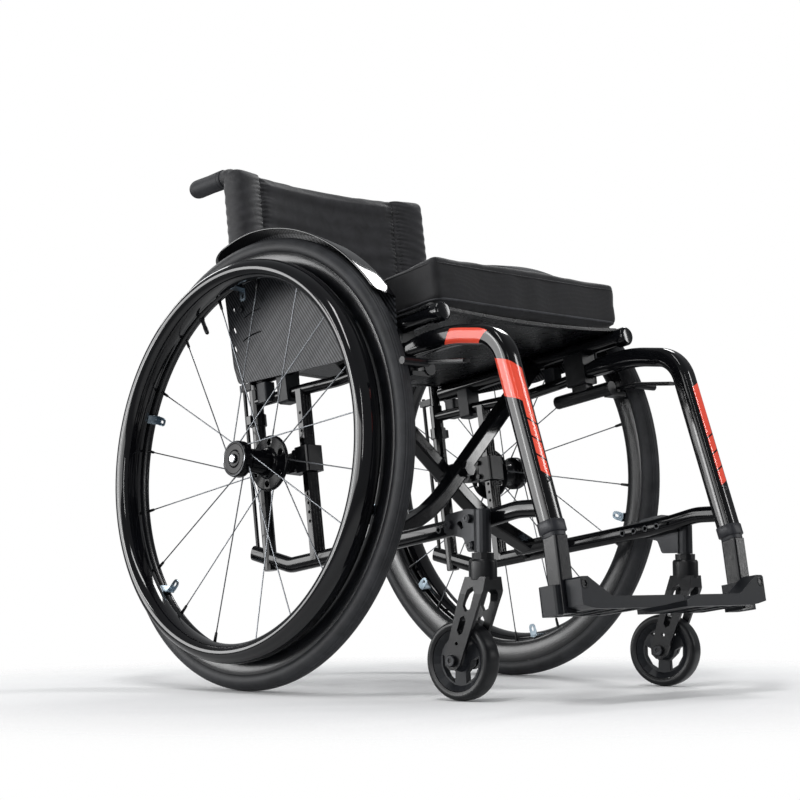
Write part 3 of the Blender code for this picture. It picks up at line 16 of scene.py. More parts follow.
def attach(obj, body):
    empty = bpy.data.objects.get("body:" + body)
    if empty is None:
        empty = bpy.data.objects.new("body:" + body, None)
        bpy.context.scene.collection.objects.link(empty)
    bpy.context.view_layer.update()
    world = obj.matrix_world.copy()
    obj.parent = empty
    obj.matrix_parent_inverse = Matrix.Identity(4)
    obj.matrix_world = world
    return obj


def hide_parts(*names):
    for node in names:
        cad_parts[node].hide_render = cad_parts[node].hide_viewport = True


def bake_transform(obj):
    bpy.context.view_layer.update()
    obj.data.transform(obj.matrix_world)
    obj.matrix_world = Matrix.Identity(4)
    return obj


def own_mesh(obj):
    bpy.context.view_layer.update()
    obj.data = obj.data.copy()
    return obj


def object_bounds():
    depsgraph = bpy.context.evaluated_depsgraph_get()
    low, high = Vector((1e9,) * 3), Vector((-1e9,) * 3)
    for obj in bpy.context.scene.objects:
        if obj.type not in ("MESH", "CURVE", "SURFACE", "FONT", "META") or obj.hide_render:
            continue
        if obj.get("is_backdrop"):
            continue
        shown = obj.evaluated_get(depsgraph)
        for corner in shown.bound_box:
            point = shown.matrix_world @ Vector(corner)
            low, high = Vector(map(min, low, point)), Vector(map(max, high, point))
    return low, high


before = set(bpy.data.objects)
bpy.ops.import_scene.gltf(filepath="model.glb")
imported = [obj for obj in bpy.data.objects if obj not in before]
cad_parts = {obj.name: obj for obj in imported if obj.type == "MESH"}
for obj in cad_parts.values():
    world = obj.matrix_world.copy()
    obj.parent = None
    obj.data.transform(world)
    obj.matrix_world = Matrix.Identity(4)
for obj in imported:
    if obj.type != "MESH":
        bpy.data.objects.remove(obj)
cad_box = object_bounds()
SIDES = {"right": -1, "left": 1}
FRAMES = {"right": "frame_right", "left": "frame_left"}

# %% [markdown]
# ## Where things are
#
# The chair faces -Y and its right side is at -X. The side frames are tipped back 8 degrees
# about the rear axle, so their points are given as forward and up in the tipped frame. The
# rear wheels lean in 3.5 degrees, so theirs are given by radius and angle about the hub.

# %% Two ways to place a point
LEAN = radians(8.0)
CAMBER = radians(3.5)
WHEEL_X = 0.229
AXLE_Y = 0.106429
AXLE_Z = 0.294473


def on_frame(x, forward, up):
    """x as it is, y = axle - forward cos(lean) + up sin(lean) and
    z = axle + forward sin(lean) + up cos(lean)."""
    x, forward, up = np.broadcast_arrays(x, forward, up)
    return np.stack([x, AXLE_Y - forward * cos(LEAN) + up * sin(LEAN),
                     AXLE_Z + forward * sin(LEAN) + up * cos(LEAN)], -1)


def from_frame(points):
    """World points as (x, forward, up) of the tipped frame: the inverse of on_frame."""
    y, z = points[..., 1] - AXLE_Y, points[..., 2] - AXLE_Z
    return points[..., 0], -y * cos(LEAN) + z * sin(LEAN), y * sin(LEAN) + z * cos(LEAN)


def on_wheel(side, out, radius, angle):
    """A point by its distance outboard of the wheel plane, its radius and its angle, which
    is 0 towards the front and a quarter turn at the top; then leaned in by the camber."""
    out, radius, angle = np.broadcast_arrays(out, radius, angle)
    across, high = side * out, radius * np.sin(angle)
    tilt = -side * CAMBER
    return np.stack([side * WHEEL_X + across * cos(tilt) + high * sin(tilt),
                     AXLE_Y - radius * np.cos(angle),
                     AXLE_Z - across * sin(tilt) + high * cos(tilt)], -1)


print("axle", round(AXLE_Z, 4), "m above the floor; a tyre's lowest point is at",
      round(float(on_wheel(1, 0, 0.295, -pi / 2)[2]), 4))

# %% [markdown]
# ## From points to surfaces
#
# A tube, a tyre, a cushion and a strap are all the same thing to a modeller: a grid of points
# that closes on itself in one direction, in both or in neither. One function turns such a
# grid into a mesh, and also lays a map on it in real metres, round and along the piece, so
# that a weave or a painted stripe has its true size wherever it goes.

# %% A mesh through a grid of points
def skin(name, grid, material, body=None, rows_meet=False, columns_meet=True,
         capped=False, sharp=40):
    """One quad for each i, j: p[i, j], p[i, j+1], p[i+1, j+1], p[i+1, j]. The last row joins
    the first where rows_meet, and the last column the first where columns_meet. A grid of
    grids gives one mesh of many copies. The map is u = length round, v = length along."""
    grid = np.asarray(grid, float)
    grid = grid[None] if grid.ndim == 3 else grid
    copies, rows, columns = grid.shape[:3]
    number = np.arange(copies * rows * columns).reshape(copies, rows, columns)
    last_row = rows if rows_meet else rows - 1
    last_column = columns if columns_meet else columns - 1
    right, below = np.roll(number, -1, 2), np.roll(number, -1, 1)
    quads = np.stack([number, right, np.roll(below, -1, 2), below], -1)[:, :last_row, :last_column]
    faces = quads.reshape(-1, 4).tolist()
    if capped:
        faces += number[:, 0, ::-1].tolist() + number[:, -1].tolist()
    mesh = bpy.data.meshes.new(name)
    mesh.from_pydata(grid.reshape(-1, 3).tolist(), [], faces)
    around = np.linalg.norm(np.roll(grid, -1, 2) - grid, axis=-1).mean((0, 1))
    along = np.linalg.norm(np.roll(grid, -1, 1) - grid, axis=-1).mean((0, 2))
    u = np.concatenate([[0], np.cumsum(around)])
    v = np.concatenate([[0], np.cumsum(along)])
    j, i = np.meshgrid(np.arange(last_column), np.arange(last_row))
    corners = np.stack([np.stack([u[j], u[j + 1], u[j + 1], u[j]], -1),
                        np.stack([v[i], v[i], v[i + 1], v[i + 1]], -1)], -1)
    flat = np.zeros((len(mesh.loops), 2))
    flat[:copies * corners.size // 2] = np.tile(corners.reshape(-1, 2), (copies, 1))
    mesh.uv_layers.new(name="metres").data.foreach_set("uv", flat.ravel())
    return piece(name, mesh, material, body, sharp)


def piece(name, mesh, material, body=None, sharp=40):
    """Close the poles and seams of a mesh, turn its faces outward and make it a named object."""
    shape = bmesh.new()
    shape.from_mesh(mesh)
    bmesh.ops.remove_doubles(shape, verts=shape.verts, dist=0.000002)
    bmesh.ops.recalc_face_normals(shape, faces=shape.faces)
    shape.to_mesh(mesh)
    shape.free()
    mesh.shade_smooth()
    mesh.set_sharp_from_angle(angle=radians(sharp))
    mesh.materials.append(material)
    made = bpy.data.objects.new(name, mesh)
    bpy.context.scene.collection.objects.link(made)
    if body:
        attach(made, body)
    return made


# %% [markdown]
# ## Sections and paths
#
# Most of a frame is one section carried along a bent line, as a tube is bent in a workshop,
# or a profile turned about an axis, as on a lathe. Blender can do both with a bevelled curve
# and the Screw modifier. Worked out with numpy, a section can also grow from round to square
# on its way, and every corner is a true arc.

# %% Sections, paths, and a section carried along a path
def unit(vector):
    """The same direction with length 1."""
    vector = np.asarray(vector, float)
    return vector / np.linalg.norm(vector, axis=-1, keepdims=True)


def oval(half_a, half_b, power=2.0, count=32):
    """a = A |cos t|^(2/n), b = B |sin t|^(2/n) with their signs: n = 2 is an ellipse, 4 a
    rounded rectangle. A, B and n may each be a list, which gives a list of sections."""
    half_a, half_b, power = (np.atleast_1d(v).astype(float)[:, None]
                             for v in (half_a, half_b, power))
    t = 2 * pi * (np.arange(count) + 0.5) / count
    c, s = np.cos(t), np.sin(t)
    a = half_a * np.sign(c) * np.abs(c) ** (2 / power)
    b = half_b * np.sign(s) * np.abs(s) ** (2 / power)
    a, b = np.broadcast_arrays(a, b)
    return np.stack([a, b], -1)


def bent(corners, spacing=0.004):
    """Straight runs joined by arcs, then evenly spaced: a corner is (point, bend radius), and
    on an arc p = centre + (start sin(T - t) + end sin(t)) / sin(T) over the turn T."""
    points = [np.asarray(corners[0][0], float)]
    for (before, _), (here, radius), (after, _) in zip(corners, corners[1:], corners[2:]):
        here = np.asarray(here, float)
        back, ahead = unit(np.subtract(before, here)), unit(np.subtract(after, here))
        half = np.arccos(np.clip(back @ ahead, -1, 1)) / 2
        turn = pi - 2 * half
        if radius == 0 or turn < 0.002:
            points.append(here)
            continue
        centre = here + unit(back + ahead) * radius / sin(half)
        start = here + back * radius / tan(half) - centre
        end = here + ahead * radius / tan(half) - centre
        t = np.linspace(0, turn, 24)[:, None]
        points += list(centre + (start * np.sin(turn - t) + end * np.sin(t)) / sin(turn))
    points.append(np.asarray(corners[-1][0], float))
    points = np.array(points)
    far = np.concatenate([[0], np.cumsum(np.linalg.norm(np.diff(points, axis=0), axis=1))])
    even = np.linspace(0, far[-1], max(2, round(far[-1] / spacing) + 1))
    return np.stack([np.interp(even, far, points[:, k]) for k in range(3)], -1)


def carried(path, sections):
    """p = path(s) + a across + b (across x along), where (a, b) runs round the section and
    across is level, from the chair's right to its left."""
    along = unit(np.gradient(path, axis=0))
    across = np.broadcast_to((1.0, 0.0, 0.0), path.shape)
    up = unit(np.cross(across, along))
    return path[:, None] + across[:, None] * sections[..., :1] + up[:, None] * sections[..., 1:]


def spun(profile, origin, axis, steps=64):
    """A profile (along, radius) turned about an axis, p = origin + a axis + r (u cos t + v sin t)."""
    axis = unit(axis)
    u = unit(np.cross(axis, (0, 0, 1) if abs(axis[2]) < 0.9 else (0, 1, 0)))
    v = np.cross(axis, u)
    t = 2 * pi * np.arange(steps) / steps
    ring = u * np.cos(t)[:, None] + v * np.sin(t)[:, None]
    profile = np.asarray(profile, float)
    return np.asarray(origin) + profile[:, None, :1] * axis + profile[:, None, 1:] * ring


def softened(profile, radius, steps=4):
    """A profile whose inner corners are cut back to small arcs, as on anything machined."""
    flat = [((*p, 0.0), radius) for p in profile]
    path = [flat[0][0]]
    for (a, _), (b, r), (c, _) in zip(flat, flat[1:], flat[2:]):
        a, b, c = (np.array(p) for p in (a, b, c))
        reach = min(r, 0.45 * np.linalg.norm(b - a), 0.45 * np.linalg.norm(c - b))
        start, end = b + unit(a - b) * reach, b + unit(c - b) * reach
        t = np.linspace(0, 1, steps)[:, None]
        path += list((1 - t) ** 2 * start + 2 * t * (1 - t) * b + t ** 2 * end)
    path.append(flat[-1][0])
    return np.array(path)[:, :2]


elbow = bent([((0, 0, 0), 0), ((0.1, 0, 0), 0.02), ((0.1, 0.1, 0), 0)])
print("a tube bent once, 20 mm round the corner, has", len(elbow), "sections")

# %% [markdown]
# ## Holes
#
# A drilled hole is dark inside and catches light on its rim, which a painted dot never does.
# A closed cutter is taken out with a Boolean, and the result is kept as a plain mesh, so that
# no modifier is left that waits on an object which is gone.

# %% Holes
def kept(made):
    """Keep what a piece's modifiers make as its own plain mesh, and take the modifiers off."""
    ready = made.evaluated_get(bpy.context.evaluated_depsgraph_get())
    mesh = bpy.data.meshes.new_from_object(ready)
    made.modifiers.clear()
    made.data = mesh
    return mesh


def drilled(made, cutters):
    """The piece with other closed grids cut out of it, for screw holes and slots."""
    tool = skin("cutter", cutters, None, capped=True)
    step = made.modifiers.new("holes", "BOOLEAN")
    step.object = tool
    step.solver = "EXACT"
    mesh = kept(made)
    bpy.data.objects.remove(tool)
    mesh.shade_smooth()
    mesh.set_sharp_from_angle(angle=radians(35))


# %% [markdown]
# ## Finishes
#
# Nearly the whole chair is black, so the finishes are told apart by gloss and grain: deep
# lacquer on the tubes and handrims, satin powder coat on the casters, matt rubber, moulded
# nylon, a woven cover. Each gets its grain at its true size, because the coordinates are
# metres: noise of scale 1 / s has patches about s across, and a wave texture of scale
# BAND / s repeats every s.

# %% Helpers for materials
def colour(code):
    """Linear colour of an sRGB hex code, because shaders add light in linear steps."""
    channels = np.array([int(code[i:i + 2], 16) / 255 for i in (0, 2, 4)])
    linear = np.where(channels <= 0.04045, channels / 12.92, ((channels + 0.055) / 1.055) ** 2.4)
    return (*linear.tolist(), 1.0)


def add(tree, kind, feeds=None, stops=(), **settings):
    """A shader node with its settings; each feed is a value for a socket or a link into it,
    and stops are a colour ramp's (position, hex code)."""
    node = tree.nodes.new("ShaderNode" + kind)
    for name, value in settings.items():
        setattr(node, name, value)
    for socket, value in (feeds or {}).items():
        if isinstance(value, bpy.types.NodeSocket):
            tree.links.new(value, node.inputs[socket])
        else:
            node.inputs[socket].default_value = value
    for _ in stops[2:]:
        node.color_ramp.elements.new(1.0)
    for element, (at, code) in zip(node.color_ramp.elements if stops else (), stops):
        element.position = at
        element.color = colour(code)
    return node


def blank(name, **sockets):
    """A new material, its node tree, its shader with constant sockets set, and the place of
    each point in metres."""
    made = bpy.data.materials.new(name)
    made.use_nodes = True
    shader = made.node_tree.nodes["Principled BSDF"]
    for socket, value in sockets.items():
        shader.inputs[socket.replace("_", " ")].default_value = value
    place = add(made.node_tree, "TexCoord").outputs["Object"]
    return made, made.node_tree, shader, place


def finish(made, tree, shader, colours, cloud, rough, height, depth, **under):
    """Feed the shader its colour, a roughness that runs over the range rough as a cloud goes
    from 0 to 1, and a bump of so many metres, laid over a softer bump where one is given."""
    tree.links.new(colours, shader.inputs["Base Color"])
    worn = add(tree, "MapRange", {"Value": cloud, "To Min": rough[0], "To Max": rough[1]})
    tree.links.new(worn.outputs[0], shader.inputs["Roughness"])
    bump = add(tree, "Bump", {"Height": height, "Distance": depth, "Strength": 1.0, **under})
    tree.links.new(bump.outputs["Normal"], shader.inputs["Normal"])
    return made


BAND = 2 * pi / 20
print("a grey written 808080 is", round(colour("808080")[0], 3), "of full light")

# %% [markdown]
# ## Painted panels
#
# The red panels are masked and sprayed on the finished leg, so their edges are sharp and they
# are as glossy as the black beside them. A thin shell laid over the tube would show a step.
# So the panels are a mask inside the leg's own material, drawn on its map in metres: u runs
# round the tube and v along it, and slanted ends come from leaning v by a share of u.

# %% Where the leg is painted
# Each patch runs from and to along the leg, then from and to round it, in metres: one on the
# side before the bend, one round the leg below it, and a tail cut by three thin lines.
PANELS = ((0.3575, 0.4165, 0.0235, 0.0388), (0.4597, 0.5087, 0.0235, 0.0548),
          (0.5087, 0.5290, 0.0452, 0.0548), (0.5315, 0.5513, 0.0452, 0.0548),
          (0.5538, 0.5734, 0.0452, 0.0548), (0.5759, 0.5947, 0.0452, 0.0548))
SLANT = -0.74


def painted(tree):
    """1 inside any patch, else 0. A patch is (low < v + slant u < high) (start < u < end), and
    patches are joined by taking the larger value."""
    parts = add(tree, "SeparateXYZ", {0: add(tree, "UVMap", uv_map="metres").outputs[0]})
    u, v = parts.outputs[0], parts.outputs[1]
    lean = add(tree, "Math", {0: u, 1: SLANT, 2: v}, operation="MULTIPLY_ADD").outputs[0]
    mask = 0.0
    for low, high, start, end in PANELS:
        inside = [add(tree, "Math", {0: value, 1: (a + b) / 2, 2: (b - a) / 2}, operation="COMPARE")
                  for value, a, b in ((lean, low, high), (u, start, end))]
        patch = add(tree, "Math", {0: inside[0].outputs[0], 1: inside[1].outputs[0]},
                    operation="MULTIPLY").outputs[0]
        mask = add(tree, "Math", {0: mask, 1: patch}, operation="MAXIMUM").outputs[0]
    return mask


print(len(PANELS), "painted patches on each leg")

# %% [markdown]
# ## Gloss lacquer
#
# Lacquer is sprayed in wet coats that flow level before they dry. The film itself is clear,
# the ground under it nearly black, so such a tube is read by its reflections alone: low
# roughness keeps them sharp, and a trace of bump gives them the slow ripple of a sprayed coat.

# %% Gloss lacquer
def lacquer(name, dark, light, rough=(0.07, 0.13), panels=False, gloss=0.3):
    """Black from a cloudy ramp, or red where the panels are, under a smooth film whose
    roughness drifts over 12 mm and whose ripple is 3 mm wide."""
    made, tree, shader, place = blank(name, Specular_IOR_Level=gloss)
    cloud, drift, ripple = (
        add(tree, "TexNoise", {"Vector": place, "Scale": 1 / size, "Detail": detail}).outputs[0]
        for size, detail in ((0.06, 3.0), (0.012, 4.0), (0.0030, 1.0)))
    tone = add(tree, "ValToRGB", {"Fac": cloud}, stops=((0.35, dark), (0.7, light))).outputs[0]
    if panels:
        red = add(tree, "ValToRGB", {"Fac": cloud}, stops=((0.3, "f4503c"), (0.7, "ff6049"))).outputs[0]
        tone = add(tree, "Mix", {0: painted(tree), 6: tone, 7: red}, data_type="RGBA").outputs[2]
    return finish(made, tree, shader, tone, drift, rough, ripple, 0.000006)


# Sprayed and dried level: deep black, with sharp white lines where the lamps lie.
FRAME_PAINT = lacquer("gloss black lacquer, sprayed", "08080a", "0e0f12")
# The same spray over masked panels, so that red and black share one unbroken highlight.
LEG_PAINT = lacquer("gloss black lacquer with accent panels", "08080a", "0e0f12", panels=True)
# Dipped and baked smooth for the hand: it mirrors whole bands of the room.
HANDRIM_PAINT = lacquer("gloss black handrim coating", "07070a", "0c0d10", (0.06, 0.11), gloss=0.42)
# Turned, then anodised and polished: black face on, with only a thin ring of light at an edge.
HUB_BLACK = lacquer("black anodised hub, polished", "07070a", "0c0d10", (0.1, 0.16), gloss=0.1)
print("lacquers ready")

# %% [markdown]
# ## Powder coat, anodising and plating
#
# Powder is baked on as grains that only half melt together, and anodising eats a fine etched
# skin into aluminium. Both scatter the light, so a highlight is wide and soft where lacquer
# has a line. The real grain is some 0.1 mm; it is drawn at 0.7 mm, the finest that shows here.

# %% Powder coat, anodising and plating
def coated(name, dark, light, rough=(0.34, 0.5), grain=0.0007, depth=0.00004, metal=0.0, gloss=0.4):
    """A cloudy tone 20 mm wide, the same cloud in the roughness, and an even grain as bump."""
    made, tree, shader, place = blank(name, Specular_IOR_Level=gloss, Metallic=metal)
    cloud, grit = (
        add(tree, "TexNoise", {"Vector": place, "Scale": 1 / size, "Detail": detail}).outputs[0]
        for size, detail in ((0.02, 4.0), (grain, 2.0)))
    tone = add(tree, "ValToRGB", {"Fac": cloud}, stops=((0.3, dark), (0.75, light))).outputs[0]
    return finish(made, tree, shader, tone, cloud, rough, grit, depth)


# Extruded, then anodised: a satin black that still draws a long soft line round the hoop.
RIM_BLACK = coated("black anodised rim", "0b0c0e", "15161a", (0.2, 0.3), gloss=0.5)
# Polished before anodising, so the flat sides of the footrest tubes reflect as soft sheets.
GLOSS_PLATE = coated("black anodised tube, polished", "0a0b0e", "121317", (0.16, 0.26), gloss=0.22)
# Powder coated: an even soft sheen, without a single sharp line.
SATIN = coated("satin black powder coat", "0b0c0e", "141518", (0.26, 0.38), gloss=0.24)
# Blasted and anodised dark: part of the light comes back as from metal, so it looks greyer.
BRACKET_METAL = coated("dark anodised bracket", "17181b", "232529", (0.28, 0.4), metal=0.35)
# Zinc plated and blue passivated: pale bluish metal, clouded where the bath was uneven.
ZINC = coated("blue zinc plate", "74828d", "aab8c2", (0.2, 0.4), grain=0.002, depth=0.00003, metal=1.0)
print("coatings ready")

# %% [markdown]
# ## Bare metal
#
# A drawn wire and a turned pin keep the marks of the die and of the tool. They are grooves
# much finer than a pixel, so noise stands for them. Squeezed along the axis of a turned pin it
# gives the fine rings that the tool left; even on all sides it makes a thin wire flicker.

# %% Bare metal
def brushed(name, dark, light, squeeze, rough):
    """Noise of 0.6 mm, squeezed by a factor on each axis, drives tone, roughness and bump."""
    made, tree, shader, place = blank(name, Metallic=1.0)
    lines = add(tree, "Mapping", {"Vector": place, "Scale": squeeze})
    hair = add(tree, "TexNoise", {"Vector": lines.outputs[0], "Scale": 1 / 0.0006,
                                  "Detail": 3.0}).outputs[0]
    tone = add(tree, "ValToRGB", {"Fac": hair}, stops=((0.3, dark), (0.7, light))).outputs[0]
    return finish(made, tree, shader, tone, hair, rough, hair, 0.000015)


# Cold drawn wire: mid grey that flickers along the spoke.
STEEL = brushed("stainless spoke steel", "4b4d50", "7c7f83", (1, 1, 1), (0.2, 0.35))
# Turned on a lathe and left bright: the lightest metal on the chair, with fine rings.
TURNED = brushed("turned bright steel", "a6a9ad", "d4d6d9", (30, 1, 1), (0.12, 0.25))
print("metals ready")

# %% [markdown]
# ## Rubber and plastic
#
# Carbon black makes rubber dark all through, and the mould leaves it matt. Handling polishes
# some patches and dust pales others, so one cloud of noise moves both tone and roughness.
# Moulded nylon is close to it, only a little smoother, so the same function makes both.

# %% Rubber and plastic
def rubber(name, dark, light, rough, grain, depth):
    """Patches 30 mm wide in tone and roughness, over fine pores."""
    made, tree, shader, place = blank(name, Specular_IOR_Level=0.2)
    patches = add(tree, "TexNoise", {"Vector": place, "Scale": 1 / 0.03, "Detail": 5.0,
                                     "Roughness": 0.65}).outputs[0]
    pores = add(tree, "TexNoise", {"Vector": place, "Scale": 1 / grain, "Detail": 3.0}).outputs[0]
    tone = add(tree, "ValToRGB", {"Fac": patches}, stops=((0.35, dark), (0.7, light))).outputs[0]
    return finish(made, tree, shader, tone, patches, rough, pores, depth)


# Vulcanised in a steel mould: a grey black whose highlight is wide and weak.
TYRE_RUBBER = rubber("tyre rubber, vulcanised", "232426", "343538", (0.42, 0.6), 0.0009, 0.0001)
# Cast and skimmed: blacker and smoother than the tyres.
CASTER_RUBBER = rubber("caster tyre, cast polyurethane", "121315", "1b1c1e", (0.26, 0.38), 0.0015, 0.00002)
# Moulded with a fine spark texture: the palest and most matt of the rubbers.
GRIP_RUBBER = rubber("grip rubber, moulded", "2b2c2f", "3a3b3e", (0.5, 0.66), 0.0006, 0.00007)
# Glass fibres lie just under the skin and roughen it: dull black with a slight bloom.
PLASTIC = rubber("glass filled nylon, moulded", "191b1e", "25272b", (0.34, 0.5), 0.0005, 0.00005)
# Moulded without fibres: a smoother, greyer ring that sets the collar off from the leg.
COLLAR_PLASTIC = rubber("grey end collar, moulded", "26272b", "35363a", (0.3, 0.45), 0.0008, 0.00003)
print("rubber and plastic ready")

# %% [markdown]
# ## Woven cloth
#
# Cloth is matt because each thread is a bundle of fibres, and it glows faintly at grazing
# angles, where their loose ends stand up: that is the sheen. Two wave patterns at right angles
# make a plain weave. Real threads lie 0.3 to 0.5 mm apart; they are drawn at about 1 mm, the
# finest that the picture can hold.

# %% Woven cloth
CREASE_DEPTH = 0.0006


def cloth(name, dark, light, axes, period, rough, depth, sheen):
    """Two sets of threads at right angles as a fine bump, over soft creases 18 mm wide that
    also move roughness, and the tone as painted shade: darker in the hollows of the creases."""
    made, tree, shader, place = blank(name, Specular_IOR_Level=0.25, Sheen_Weight=sheen,
                                      Sheen_Roughness=0.4)
    warp, weft = (add(tree, "TexWave", {"Vector": place, "Scale": BAND / period, "Distortion": 0.0},
                      wave_type="BANDS", bands_direction=axis).outputs[1] for axis in axes)
    weave = add(tree, "Math", {0: warp, 1: weft}, operation="MULTIPLY").outputs[0]
    folds_and_shade = add(tree, "TexNoise", {"Vector": place, "Scale": 1 / 0.018, "Detail": 4.0,
                                   "Distortion": 0.6}).outputs[0]
    # The tone follows the same folds as the soft bump, so the hollows of the creases are painted darker:
    # painted shade.
    tone = add(tree, "ValToRGB", {"Fac": folds_and_shade}, stops=((0.3, dark), (0.72, light))).outputs[0]
    soft = add(tree, "Bump", {"Height": folds_and_shade, "Distance": CREASE_DEPTH, "Strength": 0.7})
    return finish(made, tree, shader, tone, folds_and_shade, rough, weave, depth, Normal=soft.outputs["Normal"])


# Dense filament nylon: the lightest black here, with a soft shine on the sleeves.
BACK_CLOTH = cloth("black nylon, 600 denier", "202022", "303033", "XZ", 0.0011, (0.55, 0.72),
                   0.00007, 0.35)
# A knit that stretches over the foam: darker and flatter, because its loops trap the light.
CUSHION_CLOTH = cloth("stretch knit cushion cover", "141416", "1f1f22", "XY", 0.0009, (0.6, 0.8),
                      0.00006, 0.3)
# Coated on one side so that it wipes clean: black with broad wet-looking glints.
SLING_CLOTH = cloth("coated seat cloth, glossy", "0c0d0f", "141518", "XY", 0.0014, (0.2, 0.36),
                    0.00005, 0.0)
# Tape sewn round a cord: its tight curve catches a pale line all the way along.
PIPING = cloth("corded edge piping", "2e2f32", "46474b", "XY", 0.0012, (0.5, 0.65), 0.00005, 0.2)
# Twisted filament: darker than the cloth, so a stitch shows as a dark dash.
THREAD = cloth("polyester sewing thread", "0d0d0f", "18191c", "XZ", 0.0004, (0.4, 0.55), 0.00003, 0.1)
print("cloths ready")

# %% [markdown]
# ## Carbon twill
#
# A guard is cloth of carbon fibre pressed in resin. In twill each bundle of fibres passes over
# two and under two, one step further in each row, which the eye reads as diagonal ribs. Ribs
# of 4 mm are drawn for bundles of 2 mm, so that they show at this distance.

# %% Carbon twill
def carbon(name):
    """Ribs at 40 degrees, broken by a slower wave where the bundles dive, moving tone,
    roughness and bump together."""
    made, tree, shader, place = blank(name, Specular_IOR_Level=0.16)
    turned = add(tree, "Mapping", {"Vector": place, "Rotation": (radians(40), 0, 0)})
    ribs, dives = (
        add(tree, "TexWave", {"Vector": turned.outputs[0], "Scale": BAND / period, "Distortion": 0.0},
            wave_type="BANDS", bands_direction=axis).outputs[1]
        for axis, period in (("Y", 0.0042), ("Z", 0.0170)))
    dives = add(tree, "MapRange", {"Value": dives, "To Min": 0.75, "To Max": 1.0}).outputs[0]
    both = add(tree, "Math", {0: ribs, 1: dives}, operation="MULTIPLY").outputs[0]
    tone = add(tree, "ValToRGB", {"Fac": both}, stops=((0.15, "141517"), (0.8, "46484c"))).outputs[0]
    return finish(made, tree, shader, tone, both, (0.42, 0.28), both, 0.0001)


# Pressed under clear resin: the ribs turn light and dark in turn as the fibres face the lamp.
CARBON = carbon("carbon twill in clear resin")
print(len(bpy.data.materials), "materials in the file")

# %% [markdown]
# ## Rear wheels
#
# A 24 inch wheel with a 25 mm tyre on a deep rim, and outboard of it a wide oval handrim that
# the hand can wrap. All are surfaces of revolution about the leaned hub axis, and a section
# turned about an axis is the shortest way to say such a shape. The CAD tyre has 32 sides,
# which is enough for contact; the eye needs 240 to see a circle.

# %% Tyres
TYRE_MIDDLE = 0.2825
TYRE_R = 0.0125
RIM_BED = 0.2750
RIM_NOSE = 0.2447
FULL_TURN = np.linspace(0, 2 * pi, 240, endpoint=False)


def tyre(side):
    """out = r cos t, radius = R + r sin t, where r dips by 0.5 mm in five thin grooves round
    the tread."""
    bed = np.arcsin((RIM_BED + 0.0003 - TYRE_MIDDLE) / TYRE_R)
    t = np.linspace(bed, pi - bed, 90)
    along = TYRE_R * (t - pi / 2)
    lines = np.array([-0.0078, -0.0040, 0.0, 0.0040, 0.0078])
    groove = np.exp(-((along[:, None] - lines) / 0.0005) ** 2).sum(1)
    r = TYRE_R - 0.0005 * groove
    return on_wheel(side, (r * np.cos(t))[:, None], (TYRE_MIDDLE + r * np.sin(t))[:, None], FULL_TURN)


for word, side in SIDES.items():
    made = skin("tyre_skin_" + word, tyre(side), TYRE_RUBBER, "wheel_" + word, rows_meet=True)
    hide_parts("tyre_" + word)
print("tyres:", len(made.data.polygons), "faces each")

# %% [markdown]
# ### Rims
#
# The rim is an extruded hoop with a blunt nose where the spokes pull on it. Its depth is what
# makes the dark band inside the tyre, so the curve of its side matters more than its bed,
# which nobody sees. One power curve gives the side and its round nose together. The valve
# stands in through the nose, as on a road wheel.

# %% Rims with their valves
def rim(side):
    """Half width w = W sqrt(1 - d^2.6) down the depth d from bed to nose, with a small lip at
    the bed."""
    d = np.sin(np.linspace(0, pi / 2, 22))
    wide = 0.0108 * np.sqrt(1 - d ** 2.6) * (1 - 0.05 * np.exp(-(d / 0.06) ** 2))
    radius = RIM_BED - d * (RIM_BED - RIM_NOSE)
    out = np.concatenate([wide, -wide[-2::-1]])
    radius = np.concatenate([radius, radius[-2::-1]])
    return on_wheel(side, out[:, None], radius[:, None], FULL_TURN)


VALVE_AT = radians(123.7)
for word, side in SIDES.items():
    made = skin("rim_skin_" + word, rim(side), RIM_BLACK, "wheel_" + word, rows_meet=True)
    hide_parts("rim_" + word)
    inward = unit(on_wheel(side, 0, 0.1, VALVE_AT) - on_wheel(side, 0, 0.2, VALVE_AT))
    stem = [(0, 0), (0, 0.0036), (0.004, 0.0036), (0.0045, 0.0029), (0.016, 0.0027), (0.0165, 0.0031),
            (0.0265, 0.0029), (0.0285, 0.0020), (0.0290, 0)]
    foot = on_wheel(side, 0, RIM_NOSE + 0.0025, VALVE_AT)
    skin("valve_" + word, spun(softened(stem, 0.0008), foot, inward, 20), PLASTIC,
         "wheel_" + word)
print("rims:", len(made.data.polygons), "faces each")

# %% [markdown]
# ### Handrims
#
# The hand pushes on this ring, and its wide oval fills the palm. It stands off the rim on six
# pressed steel eyes, each with a foot that reaches out to the ring. The eyes are small but
# pale, the only light spots on the wheel, so they get true slots rather than a texture.

# %% Handrims and the tabs that hold them
PUSH_R = 0.2489
PUSH_OUT = 0.0293
TAB_R = 0.2350
STRAP_R = 0.2436


def handrim(side):
    """An oval section, 37 mm across and 25 mm deep, carried round the wheel outside the rim."""
    section = oval(0.0186, 0.0127, 2.15, 48)[0]
    return on_wheel(side, PUSH_OUT + section[:, :1], PUSH_R + section[:, 1:],
                    np.linspace(0, 2 * pi, 256, endpoint=False))


def ring_plate(outline, hole, low, high):
    """A flat plate with a hole through it: the outline and the hole's edge at both faces, as
    one closed loop of four rows. Points are (radius, sideways, outboard)."""
    rows = [(outline, high), (hole, high), (hole, low), (outline, low)]
    return np.array([[(r, s, out) for r, s in edge] for edge, out in rows])


def tab(side, angle):
    """A pressed eye that stands in from the rim's nose, with a slot for its screw."""
    eye = oval(0.0095, 0.0060, 3.0, 28)[0] + (TAB_R, 0)
    slot = oval(0.0036, 0.0021, 2.6, 28)[0] + (0.2325, 0)
    plate = ring_plate(eye, slot, -0.0052, -0.0038)
    return on_wheel(side, plate[..., 2], plate[..., 0], angle + plate[..., 1] / TAB_R)


